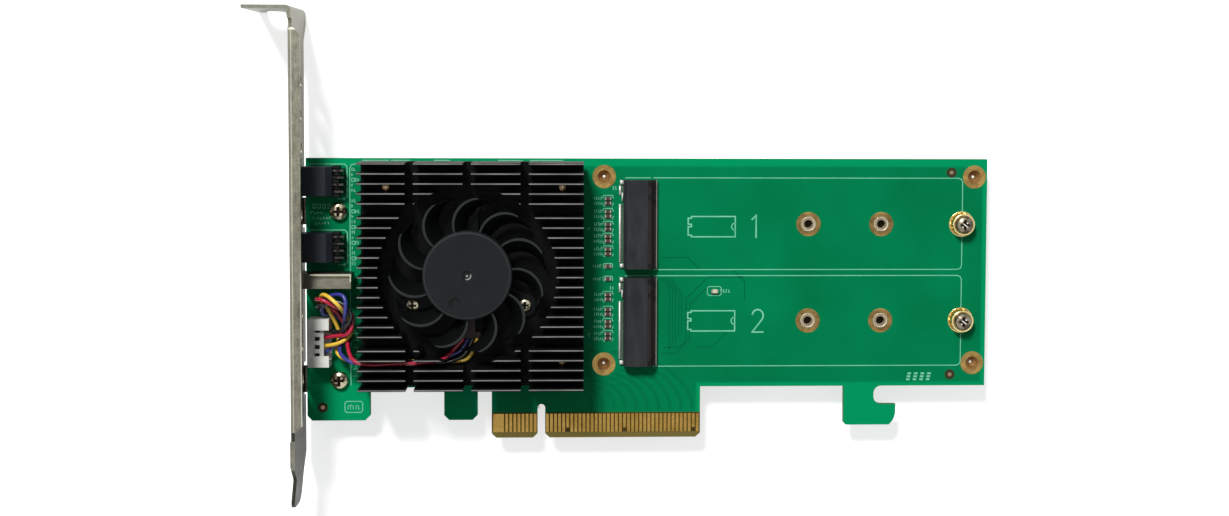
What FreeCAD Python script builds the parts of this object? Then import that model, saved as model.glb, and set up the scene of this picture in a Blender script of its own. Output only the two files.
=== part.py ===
import FreeCAD, Part
import math
import os

# NVMe adapter card: a PCI Express x8 add-in board with two M.2 sockets and a fan-cooled controller.
# Origin: centre of the card-edge key notch, on the contacts' lower edge, at the board's mid-plane.
# +X runs away from the bracket, +Y from the card edge to the top edge, +Z to the component side.
# All lengths are in millimetres.

V = FreeCAD.Vector

# ---------------------------------------------------------------- circuit board
board_length = 167.15
board_height = 68.90
board_thickness = 1.57
key_to_bracket_end = 57.15
body_edge = 12.65
bracket_tab_length = 15.30
locating_tab_start = -23.80
locating_tab_length = 8.15
tab_bottom = 4.55
tab_chamfer = 1.20
tongue_left = -12.15
tongue_right = 39.15
tongue_chamfer = 1.10
key_notch_width = 1.90
key_notch_top = 8.40
bevel_height = 1.45
bevel_depth = 0.45
hook_left = 74.80
hook_right = 87.80
hook_bottom = 2.90
hook_gap_bottom = 8.05
hook_gap_end = 82.30
hook_gap_radius = 1.90
hook_toe_run = 1.60
hook_toe_rise = 3.30
hook_toe_arc = (0.28, 0.45)

# ---------------------------------------------------------------- card-edge contacts
contact_width = 0.70
contact_pitch = 1.00
contact_top = 6.00
contact_plating = 0.05
short_contact_rise = 1.10
contact_count_before_key = 11
contact_count_after_key = 38
first_contact_after_key = 1.50
joined_contacts = 3
short_pins_front = (17, 31, 48)
short_pins_back = (1,)

# ---------------------------------------------------------------- bracket
bracket_sheet = 0.86
bracket_inner_x = -58.00
bracket_width = 18.42
bracket_low_z = -2.88
bracket_height = 120.02
bracket_tab_top = 105.20
bracket_bend = 0.40
mounting_tab_reach = 10.60
shoulder_width = 3.17
shoulder_drop = 6.00
shoulder_slope = 2.00
screw_slot_width = 4.42
screw_slot_depth = 5.10
screw_slot_from_plate = 6.35
shoulder_to_tip = 7.27
tongue_taper = 3.95
bracket_tongue_width = 10.19
tongue_tip_radius = 2.60
tongue_lean = 0.70
flange_above_taper = 8.20
flange_below_top = 5.30
flange_reach = 2.90
flange_corner = 1.50
flange_relief = 2.20
flange_relief_depth = 1.50
ear_width = 6.60
ear_relief = 0.80
ear_reach = 4.00
vent_first_y = 14.85
vent_pitch = 8.03
vent_width = 3.20
vent_length = 9.00
vent_low_z = 0.60
vent_places = (0, 1, 2, 5, 7, 8, 9)

# ---------------------------------------------------------------- bracket screws
bracket_screw_x = -49.20
bracket_screw_ys = (14.60, 55.90)
bracket_screw_radius = 1.42
bracket_screw_head = 2.20
bracket_screw_head_height = 1.60
bracket_screw_length = 4.00
screw_clearance = 0.18
thread_clearance = 0.05
# Shape shared by all the pan heads, as shares of the head's radius and height.
head_slopes = ((1.00, 0.40), (0.86, 0.78), (0.55, 1.00))
recess_reach = 0.56
recess_width = 0.30
recess_depth = 0.60

# ---------------------------------------------------------------- controller and heatsink
chip_size = 27.00
substrate_height = 1.00
lid_size = 22.00
lid_height = 1.10
pad_height = 0.30
heatsink_to_port = 2.00
heatsink_y = 41.10
heatsink_length = 53.60
sink_base_height = 2.20
sink_height = 10.30
fin_thickness = 0.55
fin_pitch = 2.36
fin_wide_pitch = 3.35
centre_fin_count_each_side = 6
outer_fin_count = 5
cross_cut_width = 2.00
cross_cut_spacing = 13.65
well_radius = 21.20

# ---------------------------------------------------------------- push pins
push_pin_spread_x = 21.15
push_pin_offset_x = 0.50
push_pin_fins_out = 1.50
push_pin_radius = 0.70
push_pin_head = 0.82
push_pin_head_height = 1.40
push_pin_barb = 1.30
push_pin_clearance = 0.20
push_pin_tip_radius = 0.42
push_pin_catch = 0.15

# ---------------------------------------------------------------- fan
fan_offset_x = -0.85
fan_offset_y = 0.35
hub_radius = 10.65
hub_top_above_sink = -0.45
hub_roof = 1.10
hub_wall = 0.90
hub_skirt_gap = 0.50
hub_chamfer = 0.45
hub_dimple_radius = 1.20
hub_dimple_depth = 0.30
hub_gate_radius = 0.35
balance_dimple_radius = 1.45
balance_dimple_x = -2.80
balance_dimple_y = -6.70
blade_count = 11
blade_root_angle = 73.50
blade_sweep = 24.00
blade_bow = 2.60
blade_tip_radius = 18.50
blade_thickness = 0.60
blade_pitch_turn = 14.00
blade_top_drop = 0.80
blade_foot_gap = 1.10
yoke_wall = 0.50
magnet_wall = 1.20
air_gap = 0.30
shaft_radius = 0.75
bearing_clearance = 0.03
bearing_radius = 2.00
bearing_pocket_floor = 0.50
bearing_lift = 0.30
shaft_end_gap = 0.05
tower_radius = 3.00
tower_to_hub_gap = 0.60
magnet_lift = 0.30
magnet_to_hub_gap = 0.60
stator_pole_count = 4
stator_height = 2.00
stator_first_pole = 45.0
pole_width = 2.60
pole_shoe_height = 0.90
pole_shoe_angle = 70.0
coil_wall = 0.80
coil_clearance = 0.15
stator_yoke_wall = 1.20
fan_base_disc = 9.90
fan_base_height = 1.00
fan_screw_circle = 15.60
fan_arm_angles = (90, 210, 330)
fan_arm_width = 4.60
fan_ear_radius = 2.80
fan_screw_radius = 1.00
fan_screw_head = 1.60
fan_screw_head_height = 0.80
fan_screw_length = 2.40
driver_board_radius = 9.00
driver_board_height = 0.60
driver_neck_width = 2.20
driver_neck_x = 0.45
driver_tail_width = 4.80
driver_tail_length = 1.60
driver_tail_reach = 15.80

# ---------------------------------------------------------------- fan lead and header
header_left = -56.10
header_depth = 5.10
header_y = 24.40
header_width = 11.70
header_height = 5.50
header_back = 1.30
plug_pitch = 2.00
plug_width = 8.30
plug_depth = 2.40
plug_height = 3.60
plug_lift = 0.95
header_clearance = 0.10
header_window_margin = 1.00
plug_slot_start = 0.35
plug_slot_length = 1.20
plug_slot_width = 0.90
plug_slot_depth = 0.70
header_pin_size = 0.50
lead_radius = 0.48
bundle_radius = 1.00
bundle_phase = 10.0
bundle_twist = 32.0
bundle_line = [(-49.4, 24.9, 4.5), (-45.9, 27.1, 6.2), (-44.8, 32.6, 8.4), (-48.4, 35.8, 9.2),
               (-51.2, 36.0, 8.6), (-53.0, 34.4, 6.6), (-52.2, 32.0, 3.6), (-49.4, 31.0, 2.2),
               (-46.7, 25.6, 2.3), (-47.8, 22.5, 3.7)]
channel_layer = 1.08
# Along the fin channel: X, distance from the channel's middle in Y, and height of the lowest lead.
channel_line = [(-46.2, 0.6, 6.2), (-41.4, -0.05, 7.35), (-34.6, 0.05, 7.45), (-28.6, -0.05, 6.0)]
channel_entry_spread = 0.80
channel_entry_layer = 1.10
bend_share = 0.45
tail_lead_pitch = 1.08
# Each lead: its place in the plug, its place round the bundle, its layer in the fin channel, and the
# points by which it comes down to its pad on the driver board's tail.
leads = {
    "blue": (0, 0, 2, [(-24.2, 20.05, 8.25), (-21.65, 21.15, 7.2), (-18.4, 22.4, 6.0)]),
    "yellow": (1, 270, 0, [(-24.4, 19.85, 5.95), (-20.85, 19.65, 5.95), (-15.95, 20.75, 6.05)]),
    "red": (2, 90, 3, [(-23.4, 19.95, 9.05), (-21.3, 21.5, 8.15), (-20.0, 23.45, 6.25)]),
    "black": (3, 180, 1, [(-24.35, 19.65, 7.05), (-21.2, 20.2, 6.9), (-17.3, 21.75, 6.05)]),
}

# ---------------------------------------------------------------- indicators
led_block_front = -57.80
led_block_ys = (47.45, 63.45)
led_block_depth = 7.60
led_block_width = 7.00
led_block_height = 5.60
led_pitch = 3.40
led_lens_radius = 1.30
led_lens_reach = 0.90
led_lens_seat = 2.30
led_lens_slopes = ((1.00, 0.0), (0.80, 0.65), (0.40, 1.00))
led_window_clearance = 0.30
led_block_chamfer = 1.40
led_lead_size = 0.50
led_lead_reach = 2.30
led_axis_above_board = 3.00
lead_tail = 1.10
lead_hole_clearance = 0.12

# ---------------------------------------------------------------- service port
port_y = 39.65
port_front = -57.60
port_depth = 12.30
port_width = 3.50
port_height = 7.40
port_shell_wall = 0.35
port_flare = 0.45
port_lift = 0.50
port_foot_length = 1.00
port_foot_inset = 1.20
port_window_margin = 0.90
port_insert_depth = 2.50
port_tongue_inset = 1.00
port_tongue_height = 4.44
port_tongue_thickness = 0.90
port_tongue_offset = 0.10
port_contact_pitch = 0.80
port_contact_width = 0.30
port_contact_thickness = 0.10
port_contact_inset = 0.30

# ---------------------------------------------------------------- M.2 sockets and drive mounts
socket_ys = (28.95, 52.85)
socket_left = 20.10
socket_upper_reach = 6.90
socket_lower_reach = 8.20
socket_length = 21.70
socket_height = 3.30
socket_cheek = 0.90
slot_height = 0.95
slot_above_board = 1.45
slot_depth = 4.20
socket_lip_slope = 0.30
socket_jaw_chamfer = 0.40
socket_back_chamfer = 0.80
socket_key_from_end = 4.20
socket_lead_pitch = 0.50
socket_leads_below_key = 29
socket_leads_above_key = 5
socket_lead_from_end = 1.60
socket_lead_width = 0.22
socket_lead_reach = 1.00
socket_lead_height = 0.18
hold_down_reach = 0.75
hold_down_width = 0.90
hold_down_height = 0.35
hold_down_from_end = 0.15
standoff_to_board_end = 6.20
drive_holes_to_standoff = (38.10, 20.05)
insert_radius = 1.85
insert_bore = 1.05
insert_clearance = 0.05
ring_radius = 3.00
ring_plating = 0.05
standoff_radius = 2.60
standoff_height = 2.40
standoff_flute_count = 16
standoff_flute_depth = 0.30
drive_screw_head = 2.10
drive_screw_head_height = 1.30
drive_screw_radius = 0.95
drive_screw_length = 3.20

# ---------------------------------------------------------------- cover holes
cover_hole_first_x = 15.35
cover_hole_to_board_end = 3.20
cover_hole_low_y = 18.30
cover_hole_to_board_top = 4.40
cover_hole_radius = 1.60
cover_ring_radius = 2.85

# ---------------------------------------------------------------- small components
capacitor_x = 16.30
capacitor_step = 1.10
capacitor_length = 1.60
capacitor_width = 0.75
capacitor_height = 0.60
terminal_length = 0.35
capacitor_pair_ys = (25.30, 28.27, 31.29, 34.97, 46.16, 49.31, 52.23, 55.38, 58.59)
single_capacitor_ys = (39.41, 42.54)
indicator_x = 42.60
indicator_y = 36.30
indicator_length = 1.70
indicator_width = 0.90
indicator_height = 0.70

# ---------------------------------------------------------------- worked-out places
half_board = board_thickness / 2
board_left = -key_to_bracket_end
board_right = board_left + board_length
bracket_outer_x = bracket_inner_x - bracket_sheet
bracket_high_z = bracket_low_z + bracket_width
sink_bottom = half_board + substrate_height + lid_height + pad_height
sink_floor = sink_bottom + sink_base_height
sink_top = sink_bottom + sink_height
sink_left = port_front + port_depth + heatsink_to_port
sink_right = sink_left + heatsink_length
heatsink_x = (sink_left + sink_right) / 2
fan_x = heatsink_x + fan_offset_x
fan_y = heatsink_y + fan_offset_y
hub_top = sink_top + hub_top_above_sink
fan_plate_top = sink_floor + fan_base_height
driver_board_top = fan_plate_top + driver_board_height
hub_bottom = driver_board_top + hub_skirt_gap
hub_ceiling = hub_top - hub_roof
tower_top = hub_ceiling - tower_to_hub_gap
bearing_pocket = sink_floor + bearing_pocket_floor
header_right = header_left + header_depth
led_axis = half_board + led_axis_above_board


def block(x0, x1, y0, y1, z0, z1):
    return Part.makeBox(x1 - x0, y1 - y0, z1 - z0, V(x0, y0, z0))


def rod(x, y, z0, z1, radius):
    return Part.makeCylinder(radius, z1 - z0, V(x, y, z0))


def ring(x, y, z0, z1, outer, inner):
    return rod(x, y, z0, z1, outer).cut(rod(x, y, z0, z1, inner))


def in_xy(z):
    return lambda x, y: V(x, y, z)


def in_xz(y):
    return lambda x, z: V(x, y, z)


def in_yz(x):
    return lambda y, z: V(x, y, z)


def face(points, at):
    """Face inside corners (a, b); a pair ((a, b), (a, b)) is an arc through the first to the second."""
    edges = []
    here = points[0]
    for step in points[1:] + [points[0]]:
        if isinstance(step[0], tuple):
            through, end = step
            edges.append(Part.Arc(at(*here), at(*through), at(*end)).toShape())
        else:
            end = step
            edges.append(Part.LineSegment(at(*here), at(*end)).toShape())
        here = end
    return Part.Face(Part.Wire(edges))


def cut_all(shape, tools):
    return shape.cut(tools).removeSplitter()


def fuse_all(shape, others):
    return shape.fuse(others).removeSplitter()


def on_circle(radius, degrees, x=fan_x, y=fan_y):
    turn = math.radians(degrees)
    return (x + radius * math.cos(turn), y + radius * math.sin(turn))


def save(name, shapes):
    """One STEP file per piece; a list is a group of separate solids."""
    solid = Part.makeCompound(shapes) if isinstance(shapes, list) else shapes
    solid.exportStep("parts/" + name + ".step")


# ---------------------------------------------------------------- shared hole and lead places
first_outer_fin = centre_fin_count_each_side * fin_pitch + fin_wide_pitch
push_pin_row = first_outer_fin + push_pin_fins_out * fin_pitch
push_pins = [(heatsink_x + push_pin_offset_x + i * push_pin_spread_x, heatsink_y + j * push_pin_row)
             for i in (-1, 1) for j in (-1, 1)]
cover_holes = [(x, y) for x in (cover_hole_first_x, board_right - cover_hole_to_board_end)
               for y in (cover_hole_low_y, board_height - cover_hole_to_board_top)]
standoff_x = board_right - standoff_to_board_end
drive_holes = [(standoff_x - back, y) for back in drive_holes_to_standoff for y in socket_ys]
standoffs = [(standoff_x, y) for y in socket_ys]
bracket_screws = [(bracket_screw_x, y) for y in bracket_screw_ys]
led_block_back = led_block_front + led_block_depth
led_lead_x = led_block_back + led_lead_reach
led_leads = [(led_lead_x, y + side * led_pitch / 2 + leg * led_pitch / 4)
             for y in led_block_ys for side in (-1, 1) for leg in (-1, 1)]
plug_ys = [header_y + (i - 1.5) * plug_pitch for i in range(4)]
header_tail_x = header_left + header_back / 2
header_pins = [(header_tail_x, y) for y in plug_ys]
lead_hole = led_lead_size * math.sqrt(0.5) + lead_hole_clearance


# ---------------------------------------------------------------- board
def circuit_board():
    notch = key_notch_width / 2
    tab_right = board_left + bracket_tab_length
    locating_right = locating_tab_start + locating_tab_length
    lean = hook_gap_radius * (1 - math.sqrt(0.5))
    gap_round_top = (hook_gap_end + lean, body_edge - lean)
    gap_round_low = (hook_gap_end + lean, hook_gap_bottom + lean)
    toe_middle = (hook_right - hook_toe_arc[0] * hook_toe_run, hook_bottom + hook_toe_arc[1] * hook_toe_rise)
    outline = [
        (board_left, board_height),
        (board_right, board_height),
        (board_right, body_edge),
        (hook_gap_end + hook_gap_radius, body_edge),
        (gap_round_top, (hook_gap_end, body_edge - hook_gap_radius)),
        (hook_gap_end, hook_gap_bottom + hook_gap_radius),
        (gap_round_low, (hook_gap_end + hook_gap_radius, hook_gap_bottom)),
        (hook_right, hook_gap_bottom),
        (hook_right, hook_bottom + hook_toe_rise),
        (toe_middle, (hook_right - hook_toe_run, hook_bottom)),
        (hook_left + tab_chamfer / 2, hook_bottom),
        (hook_left, hook_bottom + tab_chamfer / 2),
        (hook_left, body_edge),
        (tongue_right, body_edge),
        (tongue_right, tongue_chamfer),
        (tongue_right - tongue_chamfer, 0),
        (notch + tongue_chamfer, 0),
        (notch, tongue_chamfer),
        (notch, key_notch_top - notch),
        ((0, key_notch_top), (-notch, key_notch_top - notch)),
        (-notch, tongue_chamfer),
        (-notch - tongue_chamfer, 0),
        (tongue_left + tongue_chamfer, 0),
        (tongue_left, tongue_chamfer),
        (tongue_left, body_edge),
        (locating_right, body_edge),
        (locating_right, tab_bottom + tab_chamfer),
        (locating_right - tab_chamfer, tab_bottom),
        (locating_tab_start + tab_chamfer, tab_bottom),
        (locating_tab_start, tab_bottom + tab_chamfer),
        (locating_tab_start, body_edge),
        (tab_right, body_edge),
        (tab_right, tab_bottom + tab_chamfer),
        (tab_right - tab_chamfer, tab_bottom),
        (board_left + tab_chamfer, tab_bottom),
        (board_left, tab_bottom + tab_chamfer),
    ]
    board = face(outline, in_xy(-half_board)).extrude(V(0, 0, board_thickness))
    tools = []
    for side in (-1, 1):
        wedge = [(0, side * (half_board - bevel_depth)), (bevel_height, side * half_board),
                 (0, side * half_board)]
        tools.append(face(wedge, in_yz(tongue_left)).extrude(V(tongue_right - tongue_left, 0, 0)))
    holes = [(bracket_screws, bracket_screw_radius + screw_clearance),
             (push_pins, push_pin_radius + push_pin_clearance),
             (cover_holes, cover_hole_radius),
             (drive_holes + standoffs, insert_radius + insert_clearance),
             (led_leads, lead_hole),
             (header_pins, lead_hole)]
    for places, radius in holes:
        tools += [rod(x, y, -half_board, half_board, radius) for x, y in places]
    return cut_all(board, tools)


def contact_x(pin):
    if pin <= contact_count_before_key:
        return -first_contact_after_key - (contact_count_before_key - pin) * contact_pitch
    return first_contact_after_key + (pin - contact_count_before_key - 1) * contact_pitch


def edge_contacts():
    pads = []
    count = contact_count_before_key + contact_count_after_key
    for side, short_pins, joined in ((1, short_pins_front, joined_contacts), (-1, short_pins_back, 1)):
        surface = half_board if side > 0 else -half_board - contact_plating
        for pin in range(joined, count + 1):
            left = contact_x(1 if pin == joined else pin) - contact_width / 2
            right = contact_x(pin) + contact_width / 2
            low = bevel_height + (short_contact_rise if pin in short_pins else 0)
            pads.append(block(left, right, low, contact_top, surface, surface + contact_plating))
    return pads


def plated_rings():
    """Plated annuli round the drive-screw inserts and the cover holes, front and back."""
    rings = []
    for surface in (half_board, -half_board - ring_plating):
        for x, y in drive_holes:
            rings.append(ring(x, y, surface, surface + ring_plating, ring_radius,
                              insert_radius + insert_clearance))
        for x, y in cover_holes:
            rings.append(ring(x, y, surface, surface + ring_plating, cover_ring_radius, cover_hole_radius))
    return rings


# ---------------------------------------------------------------- bracket
def bracket():
    inner = bracket_inner_x
    outer = bracket_outer_x
    low = bracket_low_z
    high = bracket_high_z
    tip = bracket_tab_top - bracket_height
    shoulder_end = tip + shoulder_to_tip
    taper_start = shoulder_end + tongue_taper
    flange_bottom = taper_start + flange_above_taper
    flange_top = bracket_tab_top - flange_below_top
    side_step = (bracket_width - bracket_tongue_width) / 2
    tab_bend_y = bracket_tab_top - bracket_sheet - bracket_bend
    ear_bend_z = -half_board + bracket_bend
    flange_bend_z = high - bracket_sheet - bracket_bend
    wide_low = low - shoulder_width
    plate_outline = [
        (tab_bend_y, high), (tab_bend_y, wide_low),
        (bracket_tab_top - shoulder_drop + shoulder_slope, wide_low),
        (bracket_tab_top - shoulder_drop - shoulder_slope, low),
        (taper_start, low), (shoulder_end, low + side_step),
        (shoulder_end, high - side_step), (taper_start, high),
        (flange_bottom - flange_relief, high), (flange_bottom - flange_relief, high - flange_relief_depth),
        (flange_bottom, high - flange_relief_depth), (flange_bottom, flange_bend_z),
        (flange_top, flange_bend_z), (flange_top, high - flange_relief_depth),
        (flange_top + flange_relief, high - flange_relief_depth), (flange_top + flange_relief, high),
    ]
    plate = face(plate_outline, in_yz(outer)).extrude(V(bracket_sheet, 0, 0))

    # The lower tongue leans outwards, so that it enters the slot in the chassis.
    z_low = low + side_step
    z_high = high - side_step
    r = tongue_tip_radius
    nip = r * (1 - math.sqrt(0.5))
    tongue_outline = [
        (shoulder_end, z_low), (tip + r, z_low), ((tip + nip, z_low + nip), (tip, z_low + r)),
        (tip, z_high - r), ((tip + nip, z_high - nip), (tip + r, z_high)), (shoulder_end, z_high),
    ]
    tongue_blank = face(tongue_outline, in_yz(outer - bracket_sheet)).extrude(V(3 * bracket_sheet, 0, 0))
    tongue_side = [(outer, shoulder_end), (inner, shoulder_end), (inner - tongue_lean, tip),
                   (outer - tongue_lean, tip)]
    lean_sheet = face(tongue_side, in_xy(low)).extrude(V(0, 0, bracket_width))
    tongue = tongue_blank.common(lean_sheet)

    # The mounting tab folds outwards over the chassis rail, with an open slot for its screw.
    fold = face([(outer, wide_low), (inner, wide_low), (inner, high), (outer, high)], in_xz(tab_bend_y))
    tab_fold = fold.revolve(V(outer - bracket_bend, tab_bend_y, 0), V(0, 0, 1), 90)
    tab = block(outer - mounting_tab_reach, outer - bracket_bend,
                bracket_tab_top - bracket_sheet, bracket_tab_top, wide_low, high)
    slot_x = outer - screw_slot_from_plate
    slot_r = screw_slot_width / 2
    slot_outline = [(slot_x - slot_r, wide_low), (slot_x + slot_r, wide_low),
                    (slot_x + slot_r, wide_low + screw_slot_depth - slot_r),
                    ((slot_x, wide_low + screw_slot_depth),
                     (slot_x - slot_r, wide_low + screw_slot_depth - slot_r))]
    slot = face(slot_outline, in_xz(bracket_tab_top - bracket_sheet)).extrude(V(0, bracket_sheet, 0))
    tab = tab.cut(slot)

    # A stiffening flange folds inwards along the component-side edge.
    edge = face([(outer, flange_bottom), (inner, flange_bottom), (inner, flange_top), (outer, flange_top)],
                in_xy(flange_bend_z))
    flange_fold = edge.revolve(V(inner + bracket_bend, 0, flange_bend_z), V(0, 1, 0), 90)
    flange_end = outer + flange_reach
    c = flange_corner
    flange_outline = [(inner + bracket_bend, flange_bottom), (flange_end - c, flange_bottom),
                      (flange_end, flange_bottom + c), (flange_end, flange_top - c),
                      (flange_end - c, flange_top), (inner + bracket_bend, flange_top)]
    flange = face(flange_outline, in_xy(high - bracket_sheet)).extrude(V(0, 0, bracket_sheet))

    pieces = [tongue, tab_fold, tab, flange_fold, flange]
    openings = []
    for x, y in bracket_screws:
        half = ear_width / 2
        openings.append(block(outer, inner, y - half - ear_relief, y + half + ear_relief, low, ear_bend_z))
        root = face([(outer, y - half), (inner, y - half), (inner, y + half), (outer, y + half)],
                    in_xy(ear_bend_z))
        pieces.append(root.revolve(V(inner + bracket_bend, 0, ear_bend_z), V(0, 1, 0), -90))
        ear_end = x + ear_reach
        ear = [(inner + bracket_bend, y - half), (ear_end - half, y - half),
               ((ear_end, y), (ear_end - half, y + half)), (inner + bracket_bend, y + half)]
        ear_plate = face(ear, in_xy(-half_board - bracket_sheet)).extrude(V(0, 0, bracket_sheet))
        hole = rod(x, y, -half_board - bracket_sheet, -half_board, bracket_screw_radius + thread_clearance)
        pieces.append(ear_plate.cut(hole))

    vent_r = vent_width / 2
    for place in vent_places:
        y = vent_first_y + place * vent_pitch
        z0 = vent_low_z + vent_r
        z1 = vent_low_z + vent_length - vent_r
        vent = [(y - vent_r, z0), ((y, z0 - vent_r), (y + vent_r, z0)), (y + vent_r, z1),
                ((y, z1 + vent_r), (y - vent_r, z1))]
        openings.append(face(vent, in_yz(outer)).extrude(V(bracket_sheet, 0, 0)))
    for y in led_block_ys:
        for side in (-1, 1):
            window = Part.makeCylinder(led_lens_radius + led_window_clearance, bracket_sheet,
                                       V(outer, y + side * led_pitch / 2, led_axis),
                                       V(1, 0, 0))
            openings.append(window)
    margin = port_window_margin
    port_low = half_board + port_lift
    openings.append(block(outer, inner, port_y - port_width / 2 - margin, port_y + port_width / 2 + margin,
                          port_low - margin, port_low + port_height + margin))
    return fuse_all(plate.cut(openings), pieces)


def turned(profile, base, axis):
    """Solid turned round an axis: (radius, height) corners that start and end on the axis."""
    corners = [V(radius, 0, height) for radius, height in profile]
    body = Part.Face(Part.makePolygon(corners + corners[:1])).revolve(V(0, 0, 0), V(0, 0, 1), 360)
    body.Placement = FreeCAD.Placement(base, FreeCAD.Rotation(V(0, 0, 1), axis))
    return body


def pan_screw(x, y, seat, shank_length, shank, head, head_height):
    """Pan-head screw standing on z = seat, its head turned in slopes, with a cross recess."""
    slopes = [(head * across, head_height * up) for across, up in head_slopes]
    profile = [(0, -shank_length), (shank, -shank_length), (shank, 0), (head, 0)] + slopes
    body = turned(profile + [(0, head_height)], V(x, y, seat), V(0, 0, 1))
    top = seat + head_height
    floor = top - head_height * recess_depth
    reach = head * recess_reach
    half = head * recess_width / 2
    arms = [block(x - reach, x + reach, y - half, y + half, floor, top),
            block(x - half, x + half, y - reach, y + reach, floor, top)]
    return body.cut(arms)


# ---------------------------------------------------------------- heatsink
def fin_offsets():
    """Fin centres from the heatsink's middle: a close group, then one wide gap, then the outer fins."""
    offsets = [i * fin_pitch for i in range(-centre_fin_count_each_side, centre_fin_count_each_side + 1)]
    for i in range(outer_fin_count):
        offsets += [first_outer_fin + i * fin_pitch, -first_outer_fin - i * fin_pitch]
    return sorted(offsets)


def heatsink():
    offsets = fin_offsets()
    half_width = max(offsets) + fin_thickness / 2
    base = block(sink_left, sink_right, heatsink_y - half_width, heatsink_y + half_width,
                 sink_bottom, sink_floor)
    bars = Part.makeCompound([
        block(sink_left, sink_right, heatsink_y + at - fin_thickness / 2,
              heatsink_y + at + fin_thickness / 2, sink_floor, sink_top) for at in offsets])
    tools = [rod(fan_x, fan_y, sink_floor, sink_top, well_radius)]
    for i in (-1, 0, 1):
        x = fan_x + i * cross_cut_spacing
        tools.append(block(x - cross_cut_width / 2, x + cross_cut_width / 2, heatsink_y - half_width,
                           heatsink_y + half_width, sink_floor, sink_top))
    fins = bars.cut(tools)
    holes = [rod(x, y, sink_bottom, sink_floor, push_pin_radius + thread_clearance) for x, y in push_pins]
    holes += [rod(*on_circle(fan_screw_circle, angle), sink_bottom, sink_floor,
                  fan_screw_radius + thread_clearance) for angle in fan_arm_angles]
    return base.cut(holes).fuse(fins.Solids).removeSplitter()


def push_pin(x, y):
    head = rod(x, y, sink_floor, sink_floor + push_pin_head_height, push_pin_head)
    shank = rod(x, y, -half_board, sink_floor, push_pin_radius)
    barb = Part.makeCone(push_pin_tip_radius, push_pin_radius + push_pin_clearance + push_pin_catch,
                         push_pin_barb, V(x, y, -half_board - push_pin_barb))
    return head.fuse([shank, barb])


# ---------------------------------------------------------------- fan, fixed pieces
def fan_base():
    pieces = [rod(fan_x, fan_y, sink_floor, fan_plate_top, fan_base_disc)]
    half = fan_arm_width / 2
    for angle in fan_arm_angles:
        x, y = on_circle(fan_screw_circle, angle)
        pieces.append(rod(x, y, sink_floor, fan_plate_top, fan_ear_radius))
        arm = block(fan_x, fan_x + fan_screw_circle, fan_y - half, fan_y + half, sink_floor, fan_plate_top)
        arm.rotate(V(fan_x, fan_y, 0), V(0, 0, 1), angle)
        pieces.append(arm)
    tower = rod(fan_x, fan_y, sink_floor, tower_top, tower_radius)
    base = fuse_all(tower, pieces)
    pocket = rod(fan_x, fan_y, bearing_pocket, tower_top, bearing_radius)
    holes = [rod(*on_circle(fan_screw_circle, angle), sink_floor, fan_plate_top,
                 fan_screw_radius + thread_clearance) for angle in fan_arm_angles]
    return base.cut([pocket] + holes)


def fan_bearing():
    return ring(fan_x, fan_y, bearing_pocket + bearing_lift, tower_top, bearing_radius,
                shaft_radius + bearing_clearance)


rotor_inside = hub_radius - hub_wall - yoke_wall - magnet_wall
stator_radius = rotor_inside - air_gap
stator_bottom = driver_board_top + coil_wall
stator_top = stator_bottom + stator_height


def stator_core():
    """Salient-pole lamination stack on the bearing tower."""
    yoke = tower_radius + stator_yoke_wall
    parts = [rod(fan_x, fan_y, stator_bottom, stator_top, yoke)]
    rim = ring(fan_x, fan_y, stator_bottom, stator_top, stator_radius, stator_radius - pole_shoe_height)
    for i in range(stator_pole_count):
        angle = stator_first_pole + i * 360 / stator_pole_count
        neck = block(fan_x, fan_x + stator_radius - pole_shoe_height / 2, fan_y - pole_width / 2,
                     fan_y + pole_width / 2, stator_bottom, stator_top)
        neck.rotate(V(fan_x, fan_y, 0), V(0, 0, 1), angle)
        reach = 2 * stator_radius
        corners = [(fan_x, fan_y), on_circle(reach, angle - pole_shoe_angle / 2),
                   on_circle(reach, angle + pole_shoe_angle / 2)]
        sector = face(corners, in_xy(stator_bottom)).extrude(V(0, 0, stator_height))
        parts += [neck, rim.common(sector)]
    core = fuse_all(parts[0], parts[1:])
    return core.cut(rod(fan_x, fan_y, stator_bottom, stator_top, tower_radius))


def stator_coils():
    """A winding round each pole neck, with a square window that the neck fills."""
    coils = []
    wall = coil_wall
    half = pole_width / 2
    start = tower_radius + stator_yoke_wall + coil_clearance
    end = math.sqrt((stator_radius - pole_shoe_height) ** 2 - (half + wall) ** 2) - coil_clearance
    for i in range(stator_pole_count):
        outer = block(fan_x + start, fan_x + end, fan_y - half - wall, fan_y + half + wall,
                      stator_bottom - wall, stator_top + wall)
        window = block(fan_x + start, fan_x + end, fan_y - half, fan_y + half, stator_bottom, stator_top)
        coil = outer.cut(window)
        coil.rotate(V(fan_x, fan_y, 0), V(0, 0, 1), stator_first_pole + i * 360 / stator_pole_count)
        coils.append(coil)
    return coils


def fan_driver_board():
    disc = rod(fan_x, fan_y, fan_plate_top, driver_board_top, driver_board_radius)
    middle = fan_x + driver_neck_x
    half = driver_neck_width / 2
    end = fan_y - driver_tail_reach
    neck = block(middle - half, middle + half, end, fan_y, fan_plate_top, driver_board_top)
    half = driver_tail_width / 2
    tail = block(middle - half, middle + half, end, end + driver_tail_length, fan_plate_top, driver_board_top)
    tower_hole = rod(fan_x, fan_y, fan_plate_top, driver_board_top, tower_radius)
    return fuse_all(disc, [neck, tail]).cut(tower_hole)


# ---------------------------------------------------------------- fan, turning pieces
blade_top = hub_top - blade_top_drop
blade_bottom = fan_plate_top + blade_foot_gap


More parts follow.
